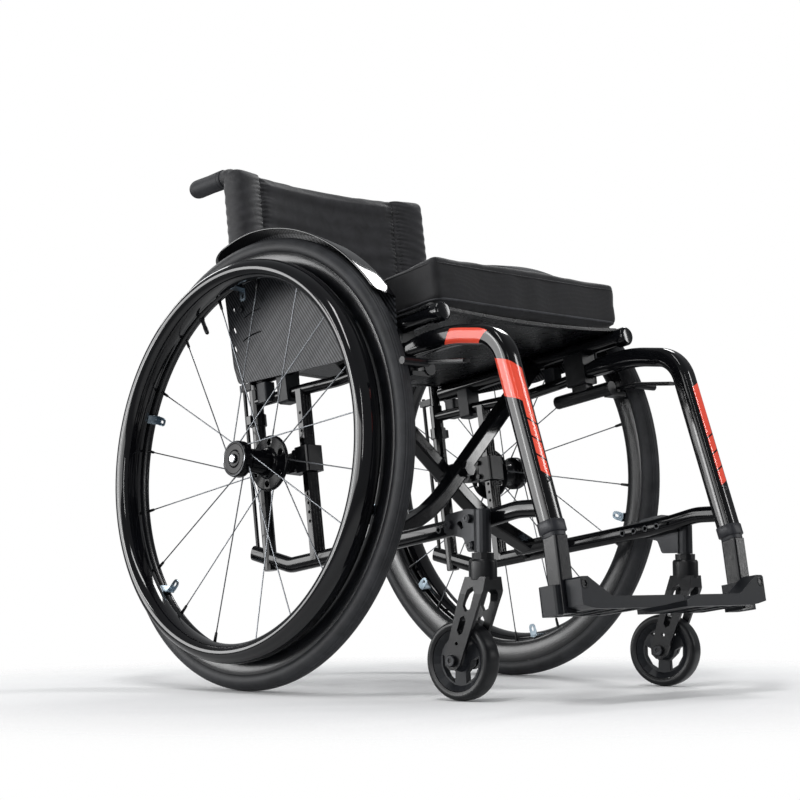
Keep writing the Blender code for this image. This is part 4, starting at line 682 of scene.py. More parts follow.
def strap(side, angle):
    """The flat foot of the tab, from under the rim out to the handrim's back."""
    out = np.linspace(-0.0052, PUSH_OUT - 0.004, 16)
    high = STRAP_R + 0.0016 * np.clip((out - 0.008) / 0.012, 0, 1) ** 2
    section = oval(0.0062, 0.0011, 6.0, 20)[0]
    return on_wheel(side, out[:, None], high[:, None] - 0.0012 + section[:, 1],
                    angle + section[:, 0] / STRAP_R)


tab_angles = radians(43) + 2 * pi * np.arange(6) / 6
for word, side in SIDES.items():
    made = skin("handrim_skin_" + word, handrim(side), HANDRIM_PAINT, "wheel_" + word,
                rows_meet=True)
    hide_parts("handrim_" + word)
    skin("handrim_tabs_" + word, [tab(side, a) for a in tab_angles], ZINC, "wheel_" + word,
         rows_meet=True, sharp=30)
    skin("handrim_straps_" + word, [strap(side, a) for a in tab_angles], ZINC, "wheel_" + word,
         capped=True, sharp=30)
print("handrims on", len(tab_angles), "tabs each")

# %% [markdown]
# ### Hubs and spokes
#
# A small flange outside and a large one inside brace the rim against side loads. Nine spokes
# leave each: one set leans far round the hub and the other stands nearly straight, so they
# cross in the side view. Each spoke is a thin turned bar, thicker at its head; its nipple is
# the same bar once more, short and fat. The large flange is drilled, and a thin bead of pale
# turned steel round the cap is a painted highlight: the bright ring of light on the cap's rim.

# %% Hubs, spokes and nipples
SPOKES = 18
SMALL_FLANGE_OUT = 0.028
LARGE_FLANGE_OUT = -0.0228
FLANGE_HOLES = 6
FLANGE_HOLE_R = 0.0046


def spokes(side, butt, swell):
    """18 spokes in two sets, one from the small outer flange that leans 50 degrees round and
    one from the large inner flange that leans 13. Each grid is rings r(s) round a line."""
    grids = []
    for k in range(SPOKES):
        at_rim = radians(13.6) + 2 * pi * k / SPOKES
        outer = k % 2 == 0
        at_hub = at_rim + radians(50 if outer else 13)
        low = on_wheel(side, SMALL_FLANGE_OUT if outer else LARGE_FLANGE_OUT,
                       0.0198 if outer else 0.0330, at_hub)
        high = on_wheel(side, 0, 0.2452, at_rim)
        far = np.linalg.norm(high - low)
        grids.append(spun([(far * s, r) for s, r in zip(butt, swell)], low, high - low, 10))
    return grids


HUB_PROFILE = [(-0.0320, 0.0065), (-0.0320, 0.0135), (-0.0283, 0.0165), (-0.0248, 0.0355), (-0.0240, 0.0370),
               (-0.0214, 0.0370), (-0.0202, 0.0355), (-0.0188, 0.0200), (-0.0150, 0.0166), (0.0150, 0.0158),
               (0.0205, 0.0180), (0.0235, 0.0232), (0.0250, 0.0238), (0.0345, 0.0238), (0.0366, 0.0222),
               (0.0370, 0.0205), (0.0366, 0.0190), (0.0362, 0.0120), (0.0370, 0.0102), (0.0370, 0.0065)]


def hub(side):
    """The hub's profile, corners softened, turned about the axle."""
    profile = softened(HUB_PROFILE, 0.0012)
    return on_wheel(side, profile[:, :1], profile[:, 1:], np.linspace(0, 2 * pi, 72, endpoint=False))


for word, side in SIDES.items():
    made = skin("hub_shell_" + word, hub(side), HUB_BLACK, None, rows_meet=True, sharp=30)
    middle = on_wheel(side, 0, 0, 0)
    outboard = on_wheel(side, 1, 0, 0) - middle
    places = [on_wheel(side, LARGE_FLANGE_OUT, 0.0275, 2 * pi * (k + 0.5) / FLANGE_HOLES)
              for k in range(FLANGE_HOLES)]
    drill = [(-0.010, FLANGE_HOLE_R), (0.010, FLANGE_HOLE_R)]
    drilled(made, [spun(drill, at, outboard, 20) for at in places])
    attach(made, "wheel_" + word)
    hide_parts("hub_" + word)
    # A thin ring of pale turned steel round the cap: a painted highlight for the bright ring of light on the
    # cap's rim.
    painted_highlight_bead = [(0.0366, 0.0223), (0.0371, 0.0226), (0.0375, 0.0221), (0.0372, 0.0216)]
    skin("hub_ring_painted_highlight_" + word, spun(painted_highlight_bead, middle, outboard, 96), TURNED, "wheel_" + word,
         rows_meet=True)
    bars = spokes(side, (0, 0.04, 0.08, 0.9, 0.96), (0.0011, 0.0011, 0.00085, 0.00085, 0.0010))
    skin("spokes_" + word, bars, STEEL, "wheel_" + word, capped=True)
    nipples = spokes(side, (0.938, 0.942, 0.985, 1.0), (0.0012, 0.0018, 0.0021, 0.0024))
    skin("nipples_" + word, nipples, SATIN, "wheel_" + word, capped=True)
print("hubs:", len(made.data.polygons), "faces each after drilling")

# %% [markdown]
# ## Side frames
#
# Each side frame is one long bent tube that starts round at the backrest and grows into a
# square front leg, a lower tube, and an upright that carries the wheel. The accent panels
# are paint: they are part of the leg's material, placed by the map in metres.

# %% Front tubes with their painted legs
FRAME_X = 0.1705
LEG_X = 0.1665
POST_F = -0.0605
UPPER_UP = 0.0955
RAIL_X = 0.1727
RAIL_UP = 0.1275


def side_route(side, corners):
    """A bent path through corners (forward, up, share, bend radius), where the share says how
    far the tube has moved inward from the frame's plane to the leg's."""
    return bent([(on_frame(side * (FRAME_X - share * (FRAME_X - LEG_X)), forward, up), radius)
                 for forward, up, share, radius in corners], 0.003)


def upper_path(side):
    """From the rear post, along under the seat, round a 45 mm bend and down the front leg."""
    return side_route(side, [(POST_F + 0.002, UPPER_UP, 0.0, 0), (0.045, UPPER_UP - 0.0042, 0.0, 0.3),
                             (0.112, UPPER_UP - 0.0085, 0.0, 0.3), (0.195, UPPER_UP - 0.0060, 0.0, 0.3),
                             (0.262, UPPER_UP + 0.0010, 0.3, 0.3), (0.325, UPPER_UP - 0.0005, 0.7, 0.2),
                             (0.3978, 0.0765, 1.0, 0.045), (0.4412, -0.1655, 1.0, 0)])


def upper_sections(path):
    """Half sizes grow from 7.5 mm round to 13 by 12.5 mm squared, by a smooth step s^2 (3 - 2s)."""
    share = np.clip((from_frame(path)[1] - 0.200) / 0.090, 0, 1)
    share = share * share * (3 - 2 * share)
    return oval(0.0075 + 0.0055 * share, 0.0075 + 0.0050 * share, 2.0 + 1.4 * share, 40)


for word, side in SIDES.items():
    path = upper_path(side)
    made = skin("front_tube_skin_" + word, carried(path, upper_sections(path) * (-side, 1)), LEG_PAINT,
                FRAMES[word], capped=True)
    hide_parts("front_tube_" + word)
    way = unit(path[-1] - path[-2])
    along = np.array([-0.0130, -0.0122, -0.0060, 0.0, 0.0008, 0.0014, 0.0056, 0.0062])
    foot = path[-1] + way * along[:, None]
    half = np.array([0.0136, 0.0142, 0.0142, 0.0142, 0.0138, 0.0121, 0.0119, 0.0112])
    cuff = oval(half, half - 0.0004, np.full(8, 3.4), 40)
    skin("leg_collar_" + word, carried(foot, cuff), COLLAR_PLASTIC, FRAMES[word], capped=True)
print("legs:", len(made.data.polygons), "faces each")

# %% [markdown]
# ### Lower tubes, back tubes and seat rails
#
# These are plain bent tubes. The lower one is pressed flat so that brackets can be screwed to
# it, and it is drilled for them; the back tube is round so that the cloth can slide over it;
# the seat rail is a straight round bar with a cap. Each is a path with bend radii and a section.

# %% Lower tubes, back tubes and seat rails
LOWER_HOLES_F = 0.270 + 0.0195 * np.arange(5)
LOWER_HOLES_UP = -0.1342
LOWER_HOLE_R = 0.0026
AHEAD = on_frame(0, 1, 0) - on_frame(0, 0, 0)


def lower_path(side):
    """From the stay behind the axle, round under it and forward to the front leg."""
    return side_route(side, [(-0.0925, -0.1055, 0.0, 0), (-0.0185, -0.1332, 0.0, 0.035),
                             (0.310, -0.1342, 0.0, 0.1), (0.352, -0.1330, 0.4, 0.1),
                             (0.392, -0.1302, 0.8, 0.1), (0.4300, -0.1352, 1.0, 0)])


BACK_TOP_UP = 0.4225
BACK_BEND_R = 0.022
GRIP_WAY = -unit(on_frame(0, cos(radians(4)), -sin(radians(4))) - on_frame(0, 0, 0))


def back_path(side, low, behind):
    """Up the backrest, then bent back for the push grip, which droops 4 degrees."""
    top = on_frame(side * FRAME_X, POST_F, BACK_TOP_UP)
    foot = on_frame(side * FRAME_X, POST_F, low)
    return bent([(foot, 0), (top, BACK_BEND_R), (top + GRIP_WAY * behind, 0)], 0.002)


for word, side in SIDES.items():
    path = lower_path(side)
    made = skin("lower_tube_skin_" + word, carried(path, oval([0.0070] * len(path), 0.0102, 2.6, 32)),
                FRAME_PAINT, None, capped=True)
    places = [on_frame(side * FRAME_X, forward, LOWER_HOLES_UP) for forward in LOWER_HOLES_F]
    drill = [(-0.02, LOWER_HOLE_R), (0.02, LOWER_HOLE_R)]
    drilled(made, [spun(drill, at, (1, 0, 0), 16) for at in places])
    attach(made, FRAMES[word])
    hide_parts("lower_tube_" + word)
    path = back_path(side, 0.064, 0.088)
    made = skin("back_tube_skin_" + word, carried(path, oval([0.0073] * len(path), 0.0073)),
                FRAME_PAINT, FRAMES[word], capped=True)
    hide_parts("back_tube_" + word)
    rail = [(-0.047, 0), (-0.047, 0.0095), (-0.0455, 0.011), (0.2988, 0.011), (0.2988, 0.0128),
            (0.3123, 0.0128), (0.3153, 0.0100), (0.3153, 0)]
    owner = "brace_b" if side < 0 else "brace_a"
    bar = spun(softened(rail, 0.001), on_frame(side * RAIL_X, 0, RAIL_UP), AHEAD, 40)
    made = skin("seat_rail_skin_" + word, bar, FRAME_PAINT, owner)
    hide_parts("seat_rail_" + word)
print("tubes and rails laid")

# %% [markdown]
# ### Push grips
#
# A rubber sleeve is pushed over the end of each back tube. Rings at its mouth keep the hand
# from sliding, and its end is closed and blunt. A profile turned about the tube's own droop
# says all of that in one list of points, with its corners softened as a mould leaves them.

# %% Push grips
def grip(side):
    """A blunt moulded grip: a smooth barrel with fine rings at its mouth and a rounded end."""
    profile = [(0, 0.0080), (0, 0.0126), (0.0012, 0.0135), (0.0040, 0.0135), (0.0046, 0.0129),
               (0.0058, 0.0129), (0.0064, 0.0135), (0.0330, 0.0129), (0.0600, 0.0134),
               (0.0660, 0.0130), (0.0705, 0.0112), (0.0730, 0.0080), (0.0740, 0.0035), (0.0740, 0)]
    start = on_frame(side * FRAME_X, POST_F, BACK_TOP_UP) + GRIP_WAY * 0.0256
    return spun(softened(profile, 0.002, 6), start, GRIP_WAY, 48)


for word, side in SIDES.items():
    made = skin("grip_skin_" + word, grip(side), GRIP_RUBBER, FRAMES[word])
    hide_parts("grip_" + word)
print("side frames dressed")

# %% [markdown]
# ## Side guards
#
# A carbon panel stands inside each wheel and keeps clothes out of the spokes, under a lip
# that curls out over the tyre. The panel is one flat outline with adjustment slots cut
# through it. The lip is a grid: round the wheel one way, and outward over the tyre the other,
# so its radius can sink and its reach can grow towards the front as the real one's does.

# %% Guard panels, lips and clips
GUARD_X = 0.1862
THROUGH_GUARD = (0.17, 0.20)
GUARD_TURN = np.linspace(radians(25), radians(-49), 76)
INNER_R = np.interp(-GUARD_TURN, np.radians([-25, -13, -2, 10, 25, 38, 49]),
                    [0.3085, 0.3085, 0.3065, 0.3010, 0.2965, 0.2948, 0.2935])
OUTER_R = np.interp(-GUARD_TURN, np.radians([-25, -5, 20, 49]), [0.3080, 0.3080, 0.3030, 0.2990])


def guard_panel(side):
    """The top edge falls closer to the axle towards the front; below it the outline runs down
    the front, back along a nearly straight lower edge and up to the rear of the arc."""
    arc = np.stack([0 * GUARD_TURN, INNER_R * np.sin(GUARD_TURN),
                    AXLE_Z + INNER_R * np.cos(GUARD_TURN)], -1)
    edge = bent([(arc[-1], 0), ((0, -0.2262, 0.4395), 0.006), ((0, -0.2060, 0.4330), 0.02),
                 ((0, -0.1120, 0.4175), 0.05), ((0, 0.0900, 0.4055), 0.008), ((0, 0.1010, 0.4300), 0.02),
                 (arc[0], 0)], 0.004)
    outline = np.concatenate([arc[:-1], edge[:-1]]) + (0, AXLE_Y, 0)
    return np.stack([outline + (side * x, 0, 0) for x in (GUARD_X, GUARD_X + 0.0022)])


def guard_lip(side):
    """From the panel's edge the lip rises r = inner + (outer - inner) s^0.6 over the tyre. Its
    reach grows as sqrt(1 - (1 - t)^2) over the first 45 mm and closes likewise over the last 12."""
    far = OUTER_R * (GUARD_TURN[0] - GUARD_TURN)
    rear = np.clip((far + 0.001) / 0.045, 0, 1)
    front = np.clip((far[-1] - far + 0.001) / 0.012, 0, 1)
    share = far / far[-1]
    reach = (0.0373 - 0.012 * (1 - share) ** 3) * (0.12 + 0.88 * np.sqrt(1 - (1 - rear) ** 2))
    reach = reach * (0.25 + 0.75 * np.sqrt(1 - (1 - front) ** 2))
    section = oval(0.5, 1.0, 8.0, 40)[0]
    s = section[:, 0] + 0.5
    radius = (INNER_R + 0.0006)[:, None] + (OUTER_R - INNER_R)[:, None] * s ** 0.6 + 0.0012 * section[:, 1]
    return np.stack([side * (GUARD_X + reach[:, None] * s), AXLE_Y + radius * np.sin(GUARD_TURN)[:, None],
                     AXLE_Z + radius * np.cos(GUARD_TURN)[:, None]], -1)


def slots(side):
    """Three short slots and two long bowed ones, as closed bars through the panel."""
    bars = []
    for y, z in ((0.0985, 0.5050), (0.0975, 0.4780), (0.0955, 0.4520)):
        ring = oval(0.0052, 0.0022, 3.0, 20)[0]
        y_ring = AXLE_Y + y + 0.002 + ring[:, 0] * 0.55 - ring[:, 1] * 0.83
        z_ring = z + 0.003 + ring[:, 0] * 0.83 + ring[:, 1] * 0.55
        bars.append([np.stack([np.full(20, side * x), y_ring, z_ring], -1) for x in THROUGH_GUARD])
    for z in (0.4950, 0.4640):
        y_bow = 0.0800 - np.linspace(0, 0.0392, 10)
        z_bow = z + 0.0180 * np.linspace(0, 1, 10) - 0.0080 * np.linspace(0, 1, 10) ** 2
        y_ring = AXLE_Y + np.concatenate([y_bow, y_bow[::-1]])
        z_ring = np.concatenate([z_bow + 0.0011, z_bow[::-1] - 0.0011])
        bars.append([np.stack([np.full(20, side * x), y_ring, z_ring], -1) for x in THROUGH_GUARD])
    return bars


for word, side in SIDES.items():
    made = skin("guard_panel_" + word, guard_panel(side), CARBON, None, capped=True, sharp=30)
    drilled(made, slots(side))
    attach(made, FRAMES[word])
    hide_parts("side_guard_" + word)
    skin("guard_lip_" + word, guard_lip(side), HANDRIM_PAINT, FRAMES[word], capped=True)
    clips = []
    for forward in (-0.0300, 0.1700):
        up = np.linspace(0.0885, 0.1150, 10)
        clips.append([on_frame(side * (0.1776 + a), forward + b, u)
                      for u in up for a, b in [oval(0.0092, 0.0100, 6.0, 24)[0].T]])
    skin("guard_clips_" + word, clips, PLASTIC, FRAMES[word], capped=True)
    knobs = [spun(softened([(0, 0), (0, 0.0046), (0.0035, 0.0046), (0.0044, 0.0034), (0.0044, 0)], 0.0008),
                  (side * (GUARD_X + 0.0021), AXLE_Y + y, z), (side, 0, 0), 24)
             for y, z in ((0.0862, 0.5305), (0.0835, 0.5080))]
    skin("guard_knobs_" + word, knobs, PLASTIC, FRAMES[word])
print("guards dressed")

# %% [markdown]
# ## Soft pieces
#
# Foam under cloth never keeps the sharp form it was cut to: the cover pulls the faces into
# shallow crowns and the edges into soft rolls. A short cloth simulation with a little
# pressure inside does this better than any formula, and the seams are sewn on afterwards.

# %% A short puff of pressure
PUFF_FRAMES = 20


def points_of(mesh):
    """The places of a mesh's points, one row each."""
    points = np.zeros(len(mesh.vertices) * 3)
    mesh.vertices.foreach_get("co", points)
    return points.reshape(-1, 3)


def puffed(made, voxel, pressure, cap, still=None):
    """Remesh, blow up for some frames with no gravity, and keep each point within cap metres
    of where it began: p = p0 + d min(1, cap / |d|). Points where still is 1 don't move."""
    remesh = made.modifiers.new("even mesh", "REMESH")
    remesh.mode = "VOXEL"
    remesh.voxel_size = voxel
    remesh.use_smooth_shade = True
    mesh = kept(made)
    start = points_of(mesh)
    cover = made.modifiers.new("cover", "CLOTH")
    cover.settings.quality = 4
    cover.settings.use_pressure = True
    cover.settings.uniform_pressure_force = pressure
    cover.settings.effector_weights.gravity = 0.0
    cover.settings.tension_stiffness = 12
    cover.settings.compression_stiffness = 12
    cover.settings.bending_stiffness = 0.6
    if still is not None:
        group = made.vertex_groups.new(name="sewn")
        for number in np.flatnonzero(still(start) > 0.5):
            group.add([int(number)], 1.0, "REPLACE")
        cover.settings.vertex_group_mass = "sewn"
    scene = bpy.context.scene
    for number in range(1, PUFF_FRAMES + 1):
        scene.frame_set(number)
    ready = made.evaluated_get(bpy.context.evaluated_depsgraph_get())
    step = points_of(ready.data) - start
    far = np.linalg.norm(step, axis=1, keepdims=True)
    settled = start + step * np.minimum(1, cap / np.maximum(far, 1e-9))
    made.modifiers.clear()
    made.vertex_groups.clear()
    scene.frame_set(1)
    mesh.vertices.foreach_set("co", settled.ravel())
    mesh.update()
    print(made.name, "pressed out by up to", round(float(far.max()) * 1000, 1), "mm, held to",
          cap * 1000, "mm")


def smoothed(made, change):
    """Subdivide once, then move the points by a formula of where they are."""
    finer = made.modifiers.new("finer", "SUBSURF")
    finer.levels = finer.render_levels = 1
    mesh = kept(made)
    mesh.vertices.foreach_set("co", change(points_of(mesh)).ravel())
    mesh.update()
    mesh.shade_smooth()


def tree_of(made):
    """The piece's surface, ready to be asked where it is."""
    return BVHTree.FromObject(made, bpy.context.evaluated_depsgraph_get())


# %% [markdown]
# ### The seat sling
#
# A band of coated cloth hangs between the two rails and carries the sitter. Unloaded it sags
# 7 mm and lies on the top of each rail and a little way down its outer side. It is a stretched
# sheet, so a formula is truer than a simulation: its height is known wherever it is asked for,
# and the cushion above can be laid on it.

# %% The seat sling
SLING_REST = 0.1391
SLING_SAG = 0.007
SLING_WRAP_R = 0.0116


def sling_height(x):
    """A shallow parabola between the rails: up = rest - sag (1 - (x / X)^2)."""
    return SLING_REST - SLING_SAG * (1 - np.minimum(np.abs(x) / RAIL_X, 1) ** 2)


def sling():
    """Across, the cloth sags between the rails and wraps 51 degrees over each; along, its two
    ends are turned into hems half as thick again."""
    x = RAIL_X * np.linspace(-1, 1, 61)
    wrap = radians(90) - radians(51) * np.linspace(0.05, 1, 8)
    forward = np.concatenate([[-0.0429, -0.0420, -0.0330, -0.0322], np.linspace(-0.03, 0.2830, 60),
                              [0.2855, 0.2862, 0.2944, 0.2952]])
    hem = np.where((forward < -0.0325) | (forward > 0.2860), 1.0, 0.0)
    rows = []
    for f, h in zip(forward, hem):
        ripple = 0.0004 * np.sin(f / 0.021 + 3 * x / RAIL_X) * (1 - (x / RAIL_X) ** 2)
        loops = []
        for lift in (0.0, 0.0024 + 0.0012 * h):
            inner = SLING_WRAP_R + lift
            right = np.stack([-RAIL_X - np.cos(wrap) * inner, RAIL_UP + np.sin(wrap) * inner], -1)
            left = np.stack([RAIL_X + np.cos(wrap) * inner, RAIL_UP + np.sin(wrap) * inner], -1)
            middle = np.stack([x, sling_height(x) + lift - (h * 0.0006 if lift == 0 else 0) + ripple], -1)
            loops.append(np.concatenate([right[::-1], middle, left]))
        loop = np.concatenate([loops[0], loops[1][::-1]])
        rows.append(on_frame(loop[:, 0], f, loop[:, 1]))
    return np.array(rows)


def between_braces(made, x, forward, up):
    """Bake the piece's place into its mesh; its points on the two rails go unused."""
    tuple(on_frame(-x, forward, up))
    tuple(on_frame(x, forward, up))
    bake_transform(made)


made = skin("sling_cloth", sling(), SLING_CLOTH, None, capped=True, sharp=50)
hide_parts("seat_sling")
between_braces(made, RAIL_X, 0.1, RAIL_UP)
print("sling hung between the rails")

# %% [markdown]
# ### The cushion
#
# A foam block in a zipped knit cover. The block is a squared section, the pressure rounds its
# faces, and a last formula adds what the cover does: it rises to a crown in the middle, the
# front corners are drawn up where three seams meet, and faint creases cross the front.

# %% The cushion
CUSHION_LOW = 0.1416
CUSHION_TOP = 0.1994
CUSHION_HALF_WIDE = 0.176
CUSHION_HALF_LONG = 0.1755
CUSHION_MIDDLE_F = 0.1315


def cushion_block():
    """A squared section in x and up, narrowed and lowered at both ends by (1 - |v|^40)^(1/2),
    with an underside that follows the sling."""
    v = np.sin(np.linspace(-pi / 2, pi / 2, 60))
    end = np.sqrt(1 - np.abs(v) ** 40)
    a, b = oval(1.0, 1.0, 14.0, 120)[0].T
    waist = (CUSHION_LOW + CUSHION_TOP) / 2
    rows = []
    for s, e in zip(v, end):
        squash = 0.86 + 0.14 * e
        x = a * CUSHION_HALF_WIDE * (1 - 0.03 * (1 - e)) * (1 - 0.012 * (1 - b * b))
        seat = sling_height(x) + 0.0044
        up = np.where(b > 0, waist + b * (CUSHION_TOP - 0.0035 - waist) * squash,
                      waist + b * (waist - seat) * squash)
        rows.append(on_frame(x, CUSHION_MIDDLE_F + s * CUSHION_HALF_LONG, up))
    return np.array(rows)


def cushion_settled(points):
    """The underside stays above the sling, the top crowns by 6 mm between its sides, the two
    front corners are pulled up and out where the cover's seams meet, and faint creases cross
    the front."""
    x, forward, up = from_frame(points)
    up = np.maximum(up, sling_height(x) + 0.0030)
    top = np.clip((up - 0.170) / 0.025, 0, 1)
    corner = np.clip((np.abs(x) - 0.110) / 0.066, 0, 1) ** 2
    corner = corner * np.clip((forward - 0.20) / 0.10, 0, 1) ** 2
    up = up + top * (0.0022 + 0.0062 * (1 - (x / CUSHION_HALF_WIDE) ** 2) + 0.0060 * corner)
    x = x * (1 + 0.016 * corner * top)
    wave = np.sin(x / 0.0105 + 1.3 * np.sin(x / 0.031)) * np.clip((forward - 0.296) / 0.010, 0, 1)
    return on_frame(x, forward + 0.0005 * wave + 0.003 * corner * top,
                    np.minimum(up, CUSHION_TOP + 0.0098))


made = skin("cushion_cover", cushion_block(), CUSHION_CLOTH, None, capped=True)
puffed(made, 0.006, 4.0, 0.0045)
smoothed(made, cushion_settled)
cushion_skin = tree_of(made)
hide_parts("cushion")
between_braces(made, 0.25, 0.13, 0.16)

# %% [markdown]
# ### Piping
#
# The cover's panels are joined over a cord, which hides the seam and draws a crisp edge. It
# has to lie on the settled cover, wherever the pressure left it. So the path is found by rays
# sent out from the middle at one height, then averaged so that it runs as taut as a real cord.

# %% Piping round the cushion's two edges
def piping(up, radius):
    """A cord laid where level rays from the middle meet the cover at one height."""
    square = oval(0.18, 0.18, 7.0, 260)[0]
    origin = Vector(on_frame(0, CUSHION_MIDDLE_F, up))
    path = []
    for a, b in square:
        way = Vector(on_frame(a, b, 0) - on_frame(0, 0, 0)).normalized()
        hit = cushion_skin.ray_cast(origin, way)[0]
        path.append(hit - way * radius * 0.25)
    path = np.array(path)
    smooth = sum(np.roll(path, k, 0) for k in range(-3, 4)) / 7
    along = unit(np.roll(smooth, -1, 0) - np.roll(smooth, 1, 0))
    up_way = unit(on_frame(0, 0, 1) - on_frame(0, 0, 0))
    out = np.cross(along, up_way)
    turn = 2 * pi * np.arange(10) / 10
    return (smooth[:, None] + out[:, None] * np.cos(turn)[:, None] * radius
            + up_way * np.sin(turn)[:, None] * radius)


for name, up, radius in (("cushion_piping_low", 0.1475, 0.0014), ("cushion_piping_top", 0.1925, 0.0011)):
    made = skin(name, piping(up, radius), PIPING if "low" in name else CUSHION_CLOTH, None,
                rows_meet=True)
    between_braces(made, 0.25, 0.13, 0.16)
print("cushion sewn")

# %% [markdown]
# ### The back upholstery
#
# The back is a padded panel sewn between two sleeves that slide down over the back tubes. It
# is built as it is sewn, the pad in one piece and each sleeve round its own tube. The pad is
# pressed out by a short simulation and then creased by a formula, since a crease of 1 mm
# would need too fine a mesh to simulate.

# %% The back panel
BACK_LOW = 0.182
BACK_HIGH = 0.4280
SEAM_X = 0.1280


def back_depth(x, up):
    """The middle of the cloth hangs rearward: f = post - sag (1 - (x / 157 mm)^2), with the sag
    26 mm at the lower edge and 15 mm at the top."""
    sag = 0.026 - 0.011 * (up - BACK_LOW) / (BACK_HIGH - BACK_LOW)
    return POST_F - 0.002 - sag * (1 - np.minimum(np.abs(x) / 0.157, 1) ** 2)


def back_panel():
    """The pad between the two seams: faces at depth + t and depth - t, where the half thickness
    is t = T (0.55 + 0.45 (1 - |x / X|^10)^(1/2)), one closed loop at each height."""
    share = (1 - np.cos(np.linspace(0, pi, 50))) / 2
    a = np.sin(np.linspace(-pi / 2, pi / 2, 100))
    x = (SEAM_X + 0.003) * a
    rows = []
    for s in share:
        up = BACK_LOW + 0.0010 + s * (BACK_HIGH - BACK_LOW)
        thick = 0.0042 * (0.55 + 0.45 * np.sqrt(1 - np.abs(a) ** 10))
        thick = thick * (0.75 + 0.25 * (1 - abs(2 * s - 1) ** 14))
        loop_f = np.concatenate([back_depth(x, up) + thick, (back_depth(x, up) - thick)[::-1]])
        rows.append(on_frame(np.concatenate([x, x[::-1]]), loop_f, up))
    return np.array(rows)


def back_creased(points):
    """Pinch the pad towards both seams, pucker it beside them, and lay long level creases
    between: sums of sines whose lines wander with x."""
    x, forward, up = from_frame(points)
    middle = back_depth(x, up)
    beside = SEAM_X + 0.003 - np.abs(x)
    edge = np.clip(np.minimum(up - BACK_LOW, BACK_HIGH - up) / 0.012, 0, 1)
    pinch = 0.45 * np.exp(-(beside / 0.0045) ** 2)
    pucker = 0.0011 * np.exp(-(beside / 0.014) ** 2) * np.sin(up / 0.00105 + 0.8 * np.sin(up / 0.007))
    level = sum(a * np.sin(up / w + p + 0.9 * np.sin(x / c + p)) for a, w, p, c in
                ((0.0006, 0.0036, 0.3, 0.05), (0.0008, 0.0061, 1.9, 0.08), (0.0011, 0.0140, 4.0, 0.11)))
    away = forward - middle
    step = (pucker * (1 - np.exp(-(beside / 0.0045) ** 2)) + level * edge * np.clip(beside / 0.01, 0, 1))
    forward = middle + away * (1 - pinch) * (0.75 + 0.25 * edge) + step * np.tanh(away / 0.001)
    return on_frame(x, forward, np.clip(up, BACK_LOW, BACK_HIGH + 0.001))


def back_held(points):
    """1 where the pad is sewn into the seams."""
    return np.where(np.abs(points[:, 0]) > SEAM_X - 0.002, 1.0, 0.0)


RIGHT_SEAM = tuple(on_frame(-SEAM_X, POST_F, 0.3))
back = skin("back_cover", back_panel(), BACK_CLOTH, "frame_right", capped=True)
puffed(back, 0.003, 3.0, 0.0035, back_held)
smoothed(back, back_creased)
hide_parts("back_upholstery")
print("back panel:", len(back.data.polygons), "faces")

# %% [markdown]
# ### The sleeves
#
# A sleeve is laced tight round its tube, so it has no slack for a simulation to move: a
# formula is enough. The cloth runs straight from the seam to the tube and round it. The
# photograph shows it gathered, so fine sines push it in and out along its own normal, most
# beside the seam and less and less away from it.

# %% The sleeves round the back tubes
def sleeve(side):
    """From the seam straight to the tube, round it and back to the seam, smoothed five times by
    a quarter of each neighbour, closed in over the top by a quarter circle, then gathered
    along its normal by fine sines that fade away from the seam."""
    turn = np.radians(np.linspace(92, -92, 26))
    x = np.linspace(SEAM_X - 0.0028, 0.1660, 22)
    reach = np.sin(pi / 2 * (x - x[0]) / (x[-1] - x[0])) ** 0.9
    rows = []
    for up in np.linspace(BACK_LOW - 0.0003, BACK_HIGH + 0.0004, 190):
        over = max(0.0, (up - BACK_HIGH + 0.011) / 0.0125)
        close = 0.45 + 0.55 * np.sqrt(1 - min(over, 1.0) ** 2)
        seam = back_depth(x[0], up)
        wrap = POST_F - 0.0068 + 0.0186 * close * np.sin(turn)
        front = (seam + 0.0036 * close) * (1 - reach) + wrap[0] * reach
        rear = (seam - 0.0036 * close) * (1 - reach) + wrap[-1] * reach
        loop = np.stack([np.concatenate([x, FRAME_X + 0.0125 * close * np.cos(turn), x[::-1]]),
                         np.concatenate([front, wrap, rear[::-1]])], -1)
        for _ in range(5):
            loop = (np.roll(loop, 1, 0) + 2 * loop + np.roll(loop, -1, 0)) / 4
        along = unit(np.roll(loop, -1, 0) - np.roll(loop, 1, 0))
        near = loop[:, 0] - SEAM_X
        fine = 0.0007 * np.exp(-(near / 0.016) ** 2) * np.clip(near / 0.003, 0.2, 1)
        gather = (fine * np.sin(up / 0.00105 + near / 0.004)
                  + 0.00035 * np.sin(up / 0.0026 + near / 0.006 + 1.4 * np.sin(up / 0.019)))
        loop = loop + np.stack([-along[:, 1], along[:, 0]], -1) * gather[:, None]
        rows.append(on_frame(side * loop[:, 0], loop[:, 1], up))
    return np.array(rows)


sleeves = {word: skin("back_sleeve_" + word, sleeve(side), BACK_CLOTH, FRAMES[word],
                      capped=True) for word, side in SIDES.items()}
print("sleeves:", len(sleeves["left"].data.polygons), "faces each")

# %% [markdown]
# ### Hoods and sewing
#
# At the top the cloth is gathered round the bend of each tube, so a hood of its own follows
# the tube's path. The seams are closed with a cross stitch: short dark threads that step over
# the seam. Each is a spindle of a few faces, since there are over two hundred of them.

# %% Hoods over the bends of the back tubes, and the sewing on the back
def hood(side):
    """Cloth gathered round the tube's bend: radius r (1 + small pleats along and round it)."""
    path = back_path(side, BACK_TOP_UP - 0.016, 0.0250)
    s = np.linspace(0, 1, len(path))[:, None]
    turn = 2 * pi * (np.arange(40) + 0.5) / 40
    pleats = 1 + 0.02 * np.sin(s * 34 + np.sin(turn * 2)) + 0.015 * np.sin(turn * 5 + s * 9)
    radius = (0.0092 + 0.0028 * np.clip(s / 0.35, 0, 1)) * pleats * np.clip(1.3 - 0.35 * s ** 6, 0.9, 1.0)
    return carried(path, np.stack([radius * np.cos(turn), radius * np.sin(turn)], -1))


